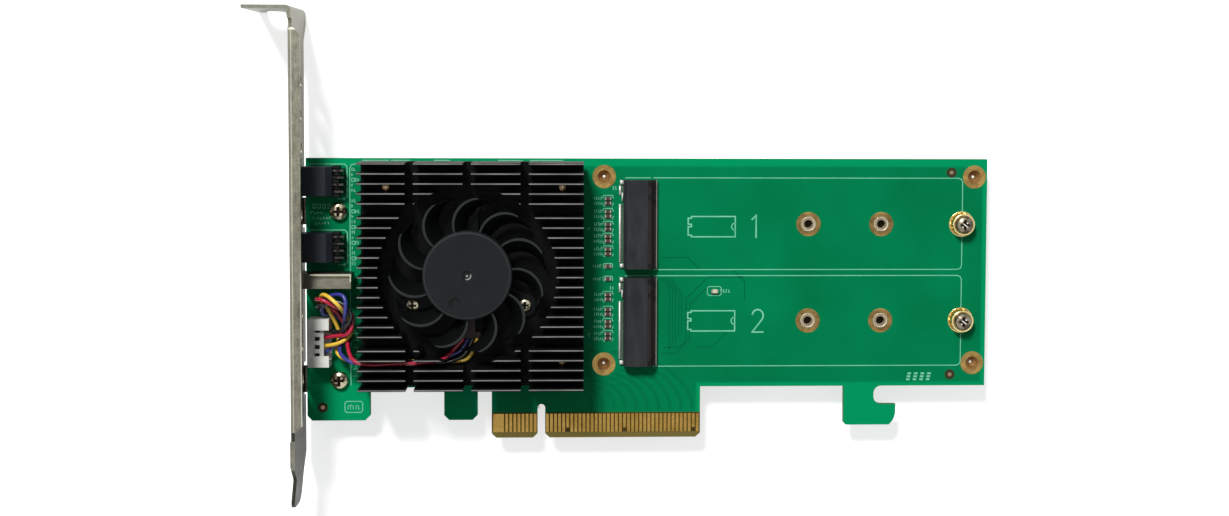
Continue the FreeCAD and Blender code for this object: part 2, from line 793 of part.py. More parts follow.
def blade_strip(z, turn):
    """Section of a blade at one height: a bowed strip from inside the hub's wall to the tip."""
    root_r = hub_radius - hub_wall / 2
    tip_r = blade_tip_radius
    root = on_circle(root_r, turn)
    tip = on_circle(tip_r, turn - blade_sweep)
    along = V(tip[0] - root[0], tip[1] - root[1], 0)
    along.normalize()
    across = V(-along.y, along.x, 0)
    middle = ((root[0] + tip[0]) / 2 + across.x * blade_bow, (root[1] + tip[1]) / 2 + across.y * blade_bow)
    half = blade_thickness / 2

    def beside(point, shift):
        return V(point[0] + across.x * shift, point[1] + across.y * shift, z)

    upper = [beside(p, half) for p in (root, middle, tip)]
    lower = [beside(p, -half) for p in (root, middle, tip)]
    edges = [Part.Arc(*upper).toShape(), Part.LineSegment(upper[2], lower[2]).toShape(),
             Part.Arc(lower[2], lower[1], lower[0]).toShape(),
             Part.LineSegment(lower[0], upper[0]).toShape()]
    return Part.Wire(edges)


def impeller():
    cup = rod(fan_x, fan_y, hub_bottom, hub_top, hub_radius)
    rim = [e for e in cup.Edges
           if e.Curve.TypeId == "Part::GeomCircle" and e.Vertexes[0].Point.z > hub_ceiling]
    cup = cup.makeChamfer(hub_chamfer, rim)
    hollow = rod(fan_x, fan_y, hub_bottom, hub_ceiling, hub_radius - hub_wall)
    dimple = ring(fan_x, fan_y, hub_top - hub_dimple_depth, hub_top, hub_dimple_radius, hub_gate_radius)
    balance = rod(fan_x + balance_dimple_x, fan_y + balance_dimple_y, hub_top - hub_dimple_depth, hub_top,
                  balance_dimple_radius)
    blades = []
    for i in range(blade_count):
        turn = blade_root_angle + i * 360 / blade_count
        sections = [blade_strip(blade_top, turn), blade_strip(blade_bottom, turn - blade_pitch_turn)]
        blades.append(Part.makeLoft(sections, True, True))
    return cup.fuse(blades).removeSplitter().cut([hollow, dimple, balance])


def rotor_yoke():
    outer = hub_radius - hub_wall
    return ring(fan_x, fan_y, hub_bottom, hub_ceiling, outer, outer - yoke_wall)


def rotor_magnet():
    outer = hub_radius - hub_wall - yoke_wall
    return ring(fan_x, fan_y, hub_bottom + magnet_lift, hub_ceiling - magnet_to_hub_gap, outer,
                outer - magnet_wall)


def fan_shaft():
    return rod(fan_x, fan_y, bearing_pocket + shaft_end_gap, hub_ceiling, shaft_radius)


# ---------------------------------------------------------------- header, plug and leads
header_base = half_board
header_top = header_base + header_height
plug_bottom = header_base + plug_lift
plug_top = plug_bottom + plug_height
plug_left = header_left + header_back
plug_right = plug_left + plug_depth
lead_z = (plug_bottom + plug_top) / 2


def fan_header():
    body = block(header_left, header_right, header_y - header_width / 2, header_y + header_width / 2,
                 header_base, header_top)
    c = header_clearance
    cavity = block(plug_left, header_right, header_y - plug_width / 2 - c, header_y + plug_width / 2 + c,
                   plug_bottom - c, plug_top + c)
    half_window = plug_width / 2 - header_window_margin
    window = block(plug_left, header_right, header_y - half_window, header_y + half_window, plug_top,
                   header_top)
    pins = [block(header_left, plug_left, y - header_pin_size / 2, y + header_pin_size / 2,
                  lead_z - header_pin_size / 2, lead_z + header_pin_size / 2) for y in plug_ys]
    tails = [block(header_tail_x - header_pin_size / 2, header_tail_x + header_pin_size / 2,
                   y - header_pin_size / 2, y + header_pin_size / 2, header_base, lead_z) for y in plug_ys]
    return body.cut([cavity, window] + pins + tails)


def header_pin(y):
    half = header_pin_size / 2
    arm = block(header_tail_x - half, plug_left + plug_depth / 2, y - half, y + half, lead_z - half,
                lead_z + half)
    tail = block(header_tail_x - half, header_tail_x + half, y - half, y + half, -half_board - lead_tail,
                 lead_z - half)
    return arm.fuse(tail).removeSplitter()


def fan_plug():
    body = block(plug_left, plug_right, header_y - plug_width / 2, header_y + plug_width / 2,
                 plug_bottom, plug_top)
    tools = []
    half = header_pin_size / 2
    for y in plug_ys:
        tools.append(block(plug_left, plug_left + plug_depth / 2, y - half, y + half, lead_z - half,
                           lead_z + half))
        tools.append(Part.makeCylinder(lead_radius, plug_depth / 4, V(plug_right - plug_depth / 4, y, lead_z),
                                       V(1, 0, 0)))
        tools.append(block(plug_left + plug_slot_start, plug_left + plug_slot_start + plug_slot_length,
                           y - plug_slot_width / 2, y + plug_slot_width / 2, plug_top - plug_slot_depth,
                           plug_top))
    return body.cut(tools)


lead_start_x = plug_right - plug_depth / 4


def cord(points, radius):
    """Round tube along straight runs joined by tangent arcs, each as large as its runs allow."""
    spots = [V(*p) for p in points]
    edges = []
    radii = []
    here = spots[0]
    for before, corner, after in zip(spots, spots[1:], spots[2:]):
        to_corner = corner - before
        onward = after - corner
        turn = to_corner.getAngle(onward)
        setback = bend_share * min(to_corner.Length, onward.Length)
        radii.append(setback / math.tan(turn / 2))
        unit_in = V(to_corner).normalize()
        unit_out = V(onward).normalize()
        start = corner - unit_in * setback
        end = corner + unit_out * setback
        inward = (unit_out - unit_in).normalize()
        sagitta = radii[-1] / math.cos(turn / 2) - radii[-1]
        middle = corner + inward * sagitta
        edges.append(Part.LineSegment(here, start).toShape())
        edges.append(Part.Arc(start, middle, end).toShape())
        here = end
    edges.append(Part.LineSegment(here, spots[-1]).toShape())
    path = Part.Wire(edges)
    section = Part.Wire([Part.Circle(spots[0], spots[1] - spots[0], radius).toShape()])
    tube = path.makePipeShell([section], True, True)
    return tube, radii, path.Length


def lead_route(place, phase, layer, descent):
    """Points of one lead: out of the plug, round the bundle, along the fin channel and down to the tail."""
    channel_y = heatsink_y - push_pin_row
    above = layer * channel_layer
    middle_layer = (len(leads) - 1) / 2
    step = layer - middle_layer
    entry_x, entry_y, entry_z = channel_line[0]
    channel = [(entry_x - channel_entry_spread * step, channel_y + entry_y,
                entry_z + channel_entry_layer * above)]
    channel += [(x, channel_y + aside, z + above) for x, aside, z in channel_line[1:]]
    line = [V(lead_start_x, header_y, lead_z)] + [V(*p) for p in bundle_line]
    line.append(V(entry_x, channel_y + entry_y, entry_z + channel_entry_layer * middle_layer * channel_layer))
    points = [(lead_start_x, plug_ys[place], lead_z)]
    for i, (before, here, after) in enumerate(zip(line, line[1:], line[2:])):
        along = (after - before).normalize()
        side = along.cross(V(0, 0, 1)).normalize()
        up = side.cross(along)
        turn = math.radians(bundle_phase + phase + i * bundle_twist)
        points.append(here + side * (bundle_radius * math.cos(turn)) + up * (bundle_radius * math.sin(turn)))
    pad_x = fan_x + driver_neck_x - step * tail_lead_pitch
    end = (pad_x, fan_y - driver_tail_reach, (fan_plate_top + driver_board_top) / 2)
    return points + channel + descent + [end]


# ---------------------------------------------------------------- indicators
def led_block(y):
    """Right-angle housing for two indicators, chamfered at the top rear edge."""
    half = led_block_width / 2
    c = led_block_chamfer
    top = half_board + led_block_height
    side = [(led_block_front, half_board), (led_block_back, half_board), (led_block_back, top - c),
            (led_block_back - c, top), (led_block_front, top)]
    body = face(side, in_xz(y - half)).extrude(V(0, led_block_width, 0))
    tools = []
    for place in (-1, 1):
        at = V(led_block_front, y + place * led_pitch / 2, led_axis)
        tools.append(Part.makeCylinder(led_lens_radius, led_lens_seat, at, V(1, 0, 0)))
    return body.cut(tools)


def led_lens(y):
    """Lens seated in its housing, with a sloped nose in the bracket's window."""
    nose = [(led_lens_radius * across, led_lens_seat + led_lens_reach * out)
            for across, out in led_lens_slopes]
    tip = (0, led_lens_seat + led_lens_reach)
    return turned([(0, 0), (led_lens_radius, 0)] + nose + [tip],
                  V(led_block_front + led_lens_seat, y, led_axis), V(-1, 0, 0))


def led_lead(x, y):
    half = led_lead_size / 2
    run = block(led_block_back, x + half, y - half, y + half, led_axis - half, led_axis + half)
    drop = block(x - half, x + half, y - half, y + half, -half_board - lead_tail, led_axis - half)
    return run.fuse(drop).removeSplitter()


# ---------------------------------------------------------------- service port
def port_outline(grow, x):
    """Five-cornered receptacle section on its edge: the narrow side faces away from the card edge."""
    low = half_board + port_lift - grow
    high = half_board + port_lift + port_height + grow
    near = port_y - port_width / 2 - grow
    far = port_y + port_width / 2 + grow
    c = port_width / 3
    return [V(x, near, low), V(x, far, low + c), V(x, far, high - c), V(x, near, high)]


def port_body(grow, x0, x1):
    return Part.Face(Part.makePolygon(port_outline(grow, x0) + port_outline(grow, x0)[:1])).extrude(
        V(x1 - x0, 0, 0))


def port_shell():
    mouth = port_front + 2 * port_flare
    tube_body = port_body(0, mouth, port_front + port_depth)
    flare = Part.makeLoft([Part.makePolygon(port_outline(grow, x) + port_outline(grow, x)[:1])
                           for grow, x in ((port_flare, port_front), (0, mouth))], True, True)
    inner_flare = Part.makeLoft([Part.makePolygon(port_outline(grow, x) + port_outline(grow, x)[:1])
                                 for grow, x in ((port_flare - port_shell_wall, port_front),
                                                 (-port_shell_wall, mouth))], True, True)
    cavity = port_body(-port_shell_wall, mouth, port_front + port_depth - port_shell_wall)
    shell = tube_body.fuse(flare).removeSplitter().cut([inner_flare, cavity])
    feet = []
    leg = port_shell_wall
    rear = port_front + port_depth
    for x in (mouth + port_foot_inset, rear - port_foot_inset - port_foot_length):
        for y in (port_y - port_width / 2, port_y + port_width / 2 - leg):
            feet.append(block(x, x + port_foot_length, y, y + leg, half_board,
                              half_board + port_lift + port_width / 2))
    return fuse_all(shell, feet)


port_cavity_left = port_front + 2 * port_flare
port_cavity_right = port_front + port_depth - port_shell_wall
port_insert_left = port_cavity_right - port_insert_depth
port_middle_z = half_board + port_lift + port_height / 2
port_tongue_low_y = port_y - port_tongue_offset - port_tongue_thickness / 2


def port_insert():
    """Moulded insert: a back wall and the tongue that carries the contacts."""
    inside = port_body(-port_shell_wall, port_insert_left, port_cavity_right)
    tongue = block(port_cavity_left + port_tongue_inset, port_insert_left, port_tongue_low_y,
                   port_tongue_low_y + port_tongue_thickness, port_middle_z - port_tongue_height / 2,
                   port_middle_z + port_tongue_height / 2)
    return fuse_all(inside, [tongue])


def port_contacts():
    strips = []
    for i in range(-2, 3):
        z = port_middle_z + i * port_contact_pitch
        strips.append(block(port_cavity_left + port_tongue_inset + port_contact_inset, port_insert_left,
                            port_tongue_low_y - port_contact_thickness, port_tongue_low_y,
                            z - port_contact_width / 2, z + port_contact_width / 2))
    return strips


# ---------------------------------------------------------------- M.2 sockets and drive mounts
def m2_socket(y):
    """Low-profile edge socket: an upper jaw, a longer lower jaw and two cheeks round the slot."""
    low = half_board
    top = low + socket_height
    slot_low = low + slot_above_board
    slot_high = slot_low + slot_height
    jaw = socket_left + socket_upper_reach
    lip = socket_left + socket_lower_reach
    throat = jaw - slot_depth
    nip = socket_jaw_chamfer
    back = socket_back_chamfer
    section = [(socket_left, low), (lip, low), (lip, slot_low - socket_lip_slope), (jaw, slot_low),
               (throat, slot_low), (throat, slot_high), (jaw, slot_high), (jaw, top - nip),
               (jaw - nip, top), (socket_left + back, top), (socket_left, top - back)]
    half = socket_length / 2
    body = face(section, in_xz(y - half)).extrude(V(0, socket_length, 0))
    cheeks = [block(throat, jaw, side - socket_cheek / 2, side + socket_cheek / 2, slot_low, slot_high)
              for side in (y - half + socket_cheek / 2, y + half - socket_cheek / 2,
                           y + half - socket_key_from_end)]
    return fuse_all(body, cheeks)


def m2_socket_leads(y):
    """Solder feet along the socket's rear edge, in two groups with the key between them."""
    end = socket_length / 2 - socket_lead_from_end
    places = [y - end + i * socket_lead_pitch for i in range(socket_leads_below_key)]
    places += [y + end - i * socket_lead_pitch for i in range(socket_leads_above_key)]
    leads = []
    for at in places:
        leads.append(block(socket_left - socket_lead_reach, socket_left, at - socket_lead_width / 2,
                           at + socket_lead_width / 2, half_board, half_board + socket_lead_height))
    return leads


def m2_hold_downs(y):
    """Solder tabs at the socket's two rear corners."""
    from_middle = socket_length / 2 - hold_down_from_end - hold_down_width / 2
    tabs = []
    for at in (y - from_middle, y + from_middle):
        tabs.append(block(socket_left - hold_down_reach, socket_left, at - hold_down_width / 2,
                          at + hold_down_width / 2, half_board, half_board + hold_down_height))
    return tabs


def threaded_insert(x, y):
    return ring(x, y, -half_board, half_board, insert_radius, insert_bore)


def standoff(x, y):
    """Knurled brass standoff pressed into the board."""
    top = half_board + standoff_height
    corners = []
    for i in range(standoff_flute_count):
        turn = i * 360 / standoff_flute_count
        corners.append(on_circle(standoff_radius, turn, x, y))
        corners.append(on_circle(standoff_radius - standoff_flute_depth, turn + 180 / standoff_flute_count,
                                 x, y))
    drum = face(corners, in_xy(half_board)).extrude(V(0, 0, standoff_height))
    spigot = rod(x, y, -half_board, half_board, insert_radius)
    bore = rod(x, y, top - drive_screw_length, top, drive_screw_radius + thread_clearance)
    return drum.fuse(spigot).removeSplitter().cut(bore)


# ---------------------------------------------------------------- small components
def chip_part(x, y, length, width, height):
    """Body between two end terminals, all standing on the board."""
    half = length / 2
    inner = half - terminal_length
    body = block(x - inner, x + inner, y - width / 2, y + width / 2, half_board, half_board + height)
    ends = [block(x + side * (half + inner) / 2 - terminal_length / 2,
                  x + side * (half + inner) / 2 + terminal_length / 2,
                  y - width / 2, y + width / 2, half_board, half_board + height) for side in (-1, 1)]
    return body, ends


def capacitors():
    places = [(capacitor_x, y + side * capacitor_step / 2) for y in capacitor_pair_ys for side in (-1, 1)]
    places += [(capacitor_x, y) for y in single_capacitor_ys]
    bodies = []
    ends = []
    for x, y in places:
        body, caps = chip_part(x, y, capacitor_length, capacitor_width, capacitor_height)
        bodies.append(body)
        ends += caps
    return bodies, ends


os.makedirs("parts", exist_ok=True)
save("circuit_board", circuit_board())
save("edge_contacts", edge_contacts())
save("plated_rings", plated_rings())
save("bracket", bracket())
save("bracket_screws", [pan_screw(x, y, half_board, bracket_screw_length, bracket_screw_radius,
                                  bracket_screw_head, bracket_screw_head_height)
                        for x, y in bracket_screws])

chip_top = half_board + substrate_height
half_chip = chip_size / 2
save("controller_substrate", block(heatsink_x - half_chip, heatsink_x + half_chip, heatsink_y - half_chip,
                                   heatsink_y + half_chip, half_board, chip_top))
half_lid = lid_size / 2
save("controller_lid", block(heatsink_x - half_lid, heatsink_x + half_lid, heatsink_y - half_lid,
                             heatsink_y + half_lid, chip_top, chip_top + lid_height))
save("thermal_pad", block(heatsink_x - half_lid, heatsink_x + half_lid, heatsink_y - half_lid,
                          heatsink_y + half_lid, chip_top + lid_height, sink_bottom))
save("heatsink", heatsink())
save("push_pins", [push_pin(x, y) for x, y in push_pins])

save("fan_base", fan_base())
fan_screws = [on_circle(fan_screw_circle, angle) for angle in fan_arm_angles]
save("fan_screws", [pan_screw(x, y, fan_plate_top, fan_screw_length, fan_screw_radius, fan_screw_head,
                              fan_screw_head_height) for x, y in fan_screws])
save("fan_bearing", fan_bearing())
save("stator_core", stator_core())
save("stator_coils", stator_coils())
save("fan_driver_board", fan_driver_board())
save("impeller", impeller())
save("rotor_yoke", rotor_yoke())
save("rotor_magnet", rotor_magnet())
save("fan_shaft", fan_shaft())

save("fan_header", fan_header())
save("header_pins", [header_pin(y) for y in plug_ys])
save("fan_plug", fan_plug())
for colour, (place, phase, layer, descent) in leads.items():
    tube, radii, length = cord(lead_route(place, phase, layer, descent), lead_radius)
    share = tube.Volume / (math.pi * lead_radius ** 2 * length)
    print("wire_" + colour, "length", round(length, 1), "volume share", round(share, 5),
          "radii", [round(r, 1) for r in radii])
    save("wire_" + colour, tube)

for place, y in zip(("lower", "upper"), led_block_ys):
    save("led_block_" + place, led_block(y))
save("led_lenses", [led_lens(y + side * led_pitch / 2) for y in led_block_ys for side in (-1, 1)])
save("led_leads", [led_lead(x, y) for x, y in led_leads])

save("port_shell", port_shell())
save("port_insert", port_insert())
save("port_contacts", port_contacts())

for place, y in zip(("lower", "upper"), socket_ys):
    save("m2_socket_" + place, m2_socket(y))
    save("m2_socket_leads_" + place, m2_socket_leads(y))
save("m2_hold_downs", [tab for y in socket_ys for tab in m2_hold_downs(y)])
save("drive_inserts", [threaded_insert(x, y) for x, y in drive_holes])
save("drive_standoffs", [standoff(x, y) for x, y in standoffs])
save("drive_screws", [pan_screw(x, y, half_board + standoff_height, drive_screw_length, drive_screw_radius,
                                drive_screw_head, drive_screw_head_height) for x, y in standoffs])

capacitor_bodies, capacitor_ends = capacitors()
indicator_body, indicator_ends = chip_part(indicator_x, indicator_y, indicator_length, indicator_width,
                                           indicator_height)
save("coupling_capacitors", capacitor_bodies)
save("status_indicator", indicator_body)
save("component_terminals", capacitor_ends + indicator_ends)
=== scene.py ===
import math
import random
from functools import partialmethod

import bmesh
import bpy
from mathutils import Matrix, Vector


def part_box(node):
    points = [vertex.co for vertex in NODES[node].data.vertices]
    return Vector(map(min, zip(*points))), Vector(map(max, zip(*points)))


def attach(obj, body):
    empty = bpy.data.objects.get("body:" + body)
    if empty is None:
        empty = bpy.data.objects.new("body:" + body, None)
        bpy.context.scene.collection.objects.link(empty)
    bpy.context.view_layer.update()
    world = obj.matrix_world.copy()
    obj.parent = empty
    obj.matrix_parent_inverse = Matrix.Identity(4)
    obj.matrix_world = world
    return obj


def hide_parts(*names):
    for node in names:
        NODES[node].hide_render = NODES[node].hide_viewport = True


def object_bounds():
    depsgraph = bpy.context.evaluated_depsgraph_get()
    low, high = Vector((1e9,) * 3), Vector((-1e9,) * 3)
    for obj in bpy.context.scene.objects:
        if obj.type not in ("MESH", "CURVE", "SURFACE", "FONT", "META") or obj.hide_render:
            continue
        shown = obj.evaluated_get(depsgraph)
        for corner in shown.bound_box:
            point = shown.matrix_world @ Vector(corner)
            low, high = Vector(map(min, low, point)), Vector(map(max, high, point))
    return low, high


# NVMe adapter card: finishes, printed marks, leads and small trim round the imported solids.
# Sizes are in millimetres, turned into metres by MM. X runs away from the bracket, Y from the
# card edge to the top edge, and Z out of the component side.
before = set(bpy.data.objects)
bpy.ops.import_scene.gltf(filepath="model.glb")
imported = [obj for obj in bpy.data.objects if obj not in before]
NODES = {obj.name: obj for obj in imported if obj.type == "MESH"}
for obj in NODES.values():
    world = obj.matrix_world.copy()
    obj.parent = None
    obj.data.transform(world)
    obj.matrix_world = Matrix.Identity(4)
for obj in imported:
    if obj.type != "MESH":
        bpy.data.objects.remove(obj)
cad_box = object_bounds()
MM = 0.001


def edges_mm(node):
    """Lowest and highest corner of a CAD node, in millimetres."""
    return [[c / MM for c in corner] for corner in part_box(node)]


def arc(x, y, reach_x, reach_y, start, step, count):
    """Points round x, y, turned from start by step degrees."""
    turns = [math.radians(start + i * step) for i in range(count)]
    return [(x + reach_x * math.cos(turn), y + reach_y * math.sin(turn)) for turn in turns]


def circle(x, y, radius, sides):
    return arc(x, y, radius, radius, 0, 360 / sides, sides)


# ---- places that finishes and trim follow
board_low, board_high = edges_mm("circuit_board")
sink_low, sink_high = edges_mm("heatsink")
plug_low, plug_high = edges_mm("fan_plug")
yoke_low, yoke_high = edges_mm("rotor_yoke")
socket_low, socket_high = edges_mm("m2_socket_lower")
bracket_high = edges_mm("bracket")[1]
board_bottom = board_low[2]
board_top = board_high[2]
fan_x = (yoke_low[0] + yoke_high[0]) / 2
fan_y = (yoke_low[1] + yoke_high[1]) / 2

HUB_RADIUS = 10.65
HUB_ABOVE_BLADES = 0.80
BLADE_TOP = edges_mm("impeller")[1][2] - HUB_ABOVE_BLADES
SOCKET_JAW = socket_low[0] + 6.90
SOCKET_LIP = socket_high[0]
SOCKET_YS = (28.95, 52.85)
SOCKET_HALF = (socket_high[1] - socket_low[1]) / 2
BRACKET_SCREWS = ((-49.20, 14.60), (-49.20, 55.90))
STANDOFFS = tuple((103.80, y) for y in SOCKET_YS)
DRIVE_HOLES = tuple((x, y) for x in (65.70, 83.75) for y in SOCKET_YS)
COVER_HOLES = tuple((x, y) for x in (15.35, 106.80) for y in (18.30, 64.50))
PUSH_PINS = tuple((x, y) for x in (-37.15, 5.15) for y in (20.05, 62.15))
FAN_SCREWS = arc(fan_x, fan_y, 15.60, 15.60, 90, 120, 3)


# ---- node kit
SHADER_SOCKETS = {"colour": "Base Color", "roughness": "Roughness", "normal": "Normal",
                  "metallic": "Metallic", "specular": "Specular IOR Level", "ior": "IOR",
                  "coat": "Coat Weight", "transmission": "Transmission Weight"}


def linear(colour):
    """A display colour of 0 to 255 made linear; one of 0 to 1 is linear already."""
    if max(colour) <= 1:
        return colour
    return tuple(((part / 255 + 0.055) / 1.055) ** 2.4 for part in colour)


def with_settings(thing, **settings):
    for name, value in settings.items():
        setattr(thing, name, value)
    return thing


class Kit:
    """A node tree, with a short call for each kind of node."""

    def __init__(self, owner, clear=True):
        owner.use_nodes = True
        self.tree = owner.node_tree
        if clear:
            self.tree.nodes.clear()

    def feed(self, socket, value):
        """Link a socket to another node's output, or set its value."""
        if isinstance(value, bpy.types.NodeSocket):
            self.tree.links.new(value, socket)
        elif socket.type == "RGBA":
            socket.default_value = (*linear(value), 1.0)
        else:
            socket.default_value = value

    def add(self, kind, sockets, output=0, **settings):
        """One output of a new node whose sockets are fed, or all of them for None."""
        node = with_settings(self.tree.nodes.new("ShaderNode" + kind), **settings)
        for key, value in sockets.items():
            self.feed(node.inputs[key], value)
        return node.outputs if output is None else node.outputs[output]

    def math(self, operation, *values):
        """One operation on one value or two, or on more, one after another."""
        while len(values) > 2:
            values = (self.math(operation, *values[:2]), *values[2:])
        return self.add("Math", dict(enumerate(values)), operation=operation)

    times = partialmethod(math, "MULTIPLY")
    plus = partialmethod(math, "ADD")
    minus = partialmethod(math, "SUBTRACT")
    largest = partialmethod(math, "MAXIMUM")
    least = partialmethod(math, "MINIMUM")

    def off(self, value, middle):
        """How far a value lies from a middle, on either side."""
        return self.math("ABSOLUTE", self.minus(value, middle))

    def spread(self, value, low, high, out_low=0.0, out_high=1.0):
        """A value mapped from one range to another and held inside it."""
        ranges = {"From Min": low, "From Max": high, "To Min": out_low, "To Max": out_high}
        return self.add("MapRange", {"Value": value, **ranges}, "Result", clamp=True)

    def fall(self, value, low, high, most=1.0):
        """The most up to the low place, and 0 from the high one on."""
        return self.spread(value, low, high, most, 0.0)

    def inside(self, value, low, high, soft):
        """1 between two places along an axis, falling to 0 outside them."""
        return self.times(self.spread(value, low - soft, low + soft),
                          self.fall(value, high - soft, high + soft))

    def blend(self, factor, a, b):
        """A colour that goes from a to b as the factor goes from 0 to 1."""
        node = with_settings(self.tree.nodes.new("ShaderNodeMix"), data_type="RGBA")
        live = {socket.name: socket for socket in node.inputs if socket.enabled}
        for name, value in (("Factor", factor), ("A", a), ("B", b)):
            self.feed(live[name], value)
        return [socket for socket in node.outputs if socket.enabled][0]

    def over(self, base, colour, mask, *shares):
        """A colour laid over the base where the mask and all the shares let it."""
        return self.blend(self.times(mask, *shares) if shares else mask, base, colour)

    def background_rays(self):
        """1 for rays that see the background, straight or by way of metal and glass."""
        rays = self.add("LightPath", {}, None)
        ways = ("Camera", "Glossy", "Transmission")
        return self.largest(*(rays[f"Is {way} Ray"] for way in ways))


class Surface(Kit):
    """A new material, laid out in the object's own space."""

    def __init__(self, name):
        self.mat = bpy.data.materials.new(name)
        super().__init__(self.mat, clear=False)
        self.shader = self.tree.nodes["Principled BSDF"]
        self.place = self.add("TexCoord", {}, "Object")

    def axes(self):
        """X, Y and Z of the place, in millimetres."""
        split = self.add("SeparateXYZ", {"Vector": self.place}, None)
        return [self.math("DIVIDE", part, MM) for part in split]

    def from_axis(self, x, y, centre_x, centre_y):
        """Distance from an upright axis, in millimetres."""
        dx = self.minus(x, centre_x)
        dy = self.minus(y, centre_y)
        return self.math("SQRT", self.plus(self.times(dx, dx), self.times(dy, dy)))

    def noise(self, size_mm, detail=4.0, roughness=0.55, stretch=None):
        """Cloudy variation of one size, drawn out where the stretch is under 1."""
        at = self.place
        if stretch:
            at = self.add("Mapping", {"Vector": at, "Scale": stretch}, "Vector")
        sockets = {"Scale": 1.0 / (size_mm * MM), "Detail": detail, "Roughness": roughness}
        return self.add("TexNoise", {"Vector": at, **sockets}, "Fac")

    def vary(self, noise, low=0.0, high=1.0):
        """Noise over its usual range, as a value from low to high."""
        return self.spread(noise, 0.3, 0.7, low, high)

    def bands(self, way, pitch_mm, distortion=0.0):
        sockets = {"Scale": 1.0 / (pitch_mm * MM), "Distortion": distortion}
        return self.add("TexWave", {"Vector": self.place, **sockets}, "Fac", wave_type="BANDS",
                        bands_direction=way)

    def done(self, colour, roughness, height, relief_mm, edge_mm=0.0, **others):
        """The material, with its relief on edges that look rounded by edge_mm."""
        relief = {"Strength": 1.0, "Distance": relief_mm * MM, "Height": height}
        if edge_mm:
            relief["Normal"] = self.add("Bevel", {"Radius": edge_mm * MM}, "Normal", samples=4)
        others |= {"colour": colour, "roughness": roughness,
                   "normal": self.add("Bump", relief, "Normal")}
        for name, value in others.items():
            self.feed(self.shader.inputs[SHADER_SOCKETS[name]], value)
        return self.mat


def add_object(name, data):
    made = bpy.data.objects.new(name, data)
    bpy.context.collection.objects.link(made)
    return made


# ---- camera, light and floor
CAMERA_PLACE = (7.8666, 84.7533, 396.1043)
CAMERA_LOOK = (0.04184587, -0.05365848, -0.99768216)
CAMERA_UP = (-0.00129586, 0.99855306, -0.05375967)
LENS = {"sensor_width": 36.0, "lens": 47.381, "shift_x": -0.02184, "shift_y": -0.06290,
        "clip_start": 0.005, "clip_end": 20.0}
WHITE = (1.0, 1.0, 1.0)
SKY_TINT = (0.95, 0.98, 1.0)
SKY_GLOW = 0.22
PAPER = (0.86, 0.86, 0.86)
FLOOR_GLOW = 0.66
FLOOR_HALF = 6.0
FLOOR_DROP = 0.0002
# Lamps: place, aim and width in metres, and power in watts.
LAMPS = {"key": ((-0.36, 0.95, 1.02), (0.02, 0.04, 0.0), 0.32, 22.4),
         "side": ((-1.10, 0.35, 0.45), (0.0, 0.04, 0.0), 0.60, 1.2)}


def add_camera():
    back = -Vector(CAMERA_LOOK).normalized()
    right = Vector(CAMERA_UP).cross(back).normalized()
    pose = Matrix((right, back.cross(right), back)).transposed().to_4x4()
    pose.translation = Vector(CAMERA_PLACE) * MM
    camera = add_object("camera", with_settings(bpy.data.cameras.new("camera"), **LENS))
    camera.matrix_world = pose
    bpy.context.scene.camera = camera


def add_lamp(name, place, aim, width, power):
    light = bpy.data.lights.new(name, "AREA")
    lamp = add_object(name, with_settings(light, shape="SQUARE", size=width, energy=power))
    lamp.location = place
    lamp.rotation_euler = (Vector(aim) - Vector(place)).to_track_quat("-Z", "Y").to_euler()


def add_world():
    """Dim light from all sides; where the background is seen, it is plain white."""
    world = bpy.data.worlds.new("studio")
    kit = Kit(world)
    soft = kit.add("Background", {"Color": SKY_TINT, "Strength": SKY_GLOW})
    white = kit.add("Background", {"Color": WHITE, "Strength": 1.0})
    both = kit.add("MixShader", {0: kit.background_rays(), 1: soft, 2: white})
    kit.add("OutputWorld", {"Surface": both}, None)
    bpy.context.scene.world = world
    bpy.context.scene.view_settings.view_transform = "Standard"


def add_floor():
    """White paper just under the part, glowing a little where it is seen."""
    z = cad_box[0][2] - FLOOR_DROP
    mesh = bpy.data.meshes.new("floor")
    square = [(x * FLOOR_HALF, y * FLOOR_HALF, z) for x, y in ((-1, -1), (1, -1), (1, 1), (-1, 1))]
    mesh.from_pydata(square, [], [(0, 1, 2, 3)])
    mat = bpy.data.materials.new("floor_paper")
    kit = Kit(mat)
    paper = kit.add("BsdfDiffuse", {"Color": PAPER})
    glow = kit.add("Emission", {"Color": WHITE, "Strength": FLOOR_GLOW})
    unlit = kit.add("Emission", {"Strength": 0.0})
    seen = kit.add("MixShader", {0: kit.background_rays(), 1: unlit, 2: glow})
    kit.add("OutputMaterial", {"Surface": kit.add("AddShader", {0: paper, 1: seen})}, None)
    mesh.materials.append(mat)
    add_object("floor", mesh)


# ---- plain finishes
def finish(name, dark, light, roughness=(0.4, 0.6), metallic=0.0, grain_mm=0.6, blotch_mm=6.0,
           bump_mm=0.004, edge_mm=0.0, specular=0.5, coat=0.0, stretch=None):
    """A finish with two scales of colour, uneven gloss and a fine relief."""
    look = Surface(name)
    fine = look.noise(grain_mm, stretch=stretch)
    coarse = look.noise(blotch_mm, 2.0, stretch=stretch)
    both = look.plus(look.times(fine, 0.45), look.times(coarse, 0.55))
    return look.done(look.blend(look.vary(both), dark, light), look.vary(fine, *roughness), fine,
                     bump_mm, edge_mm, metallic=metallic, specular=specular, coat=coat)


def metal(name, dark, light, roughness, **others):
    settings = {"metallic": 1.0, "grain_mm": 0.5, "blotch_mm": 5.0, "bump_mm": 0.003, **others}
    return finish(name, dark, light, roughness, **settings)


def lens_finish():
    """Milky clear plastic of the indicators."""
    look = Surface("led_lens")
    haze = look.noise(0.7)
    colour = look.blend(haze, (0.72, 0.80, 0.74), (0.82, 0.88, 0.84))
    return look.done(colour, look.vary(haze, 0.18, 0.3), haze, 0.004, transmission=0.55, ior=1.5)


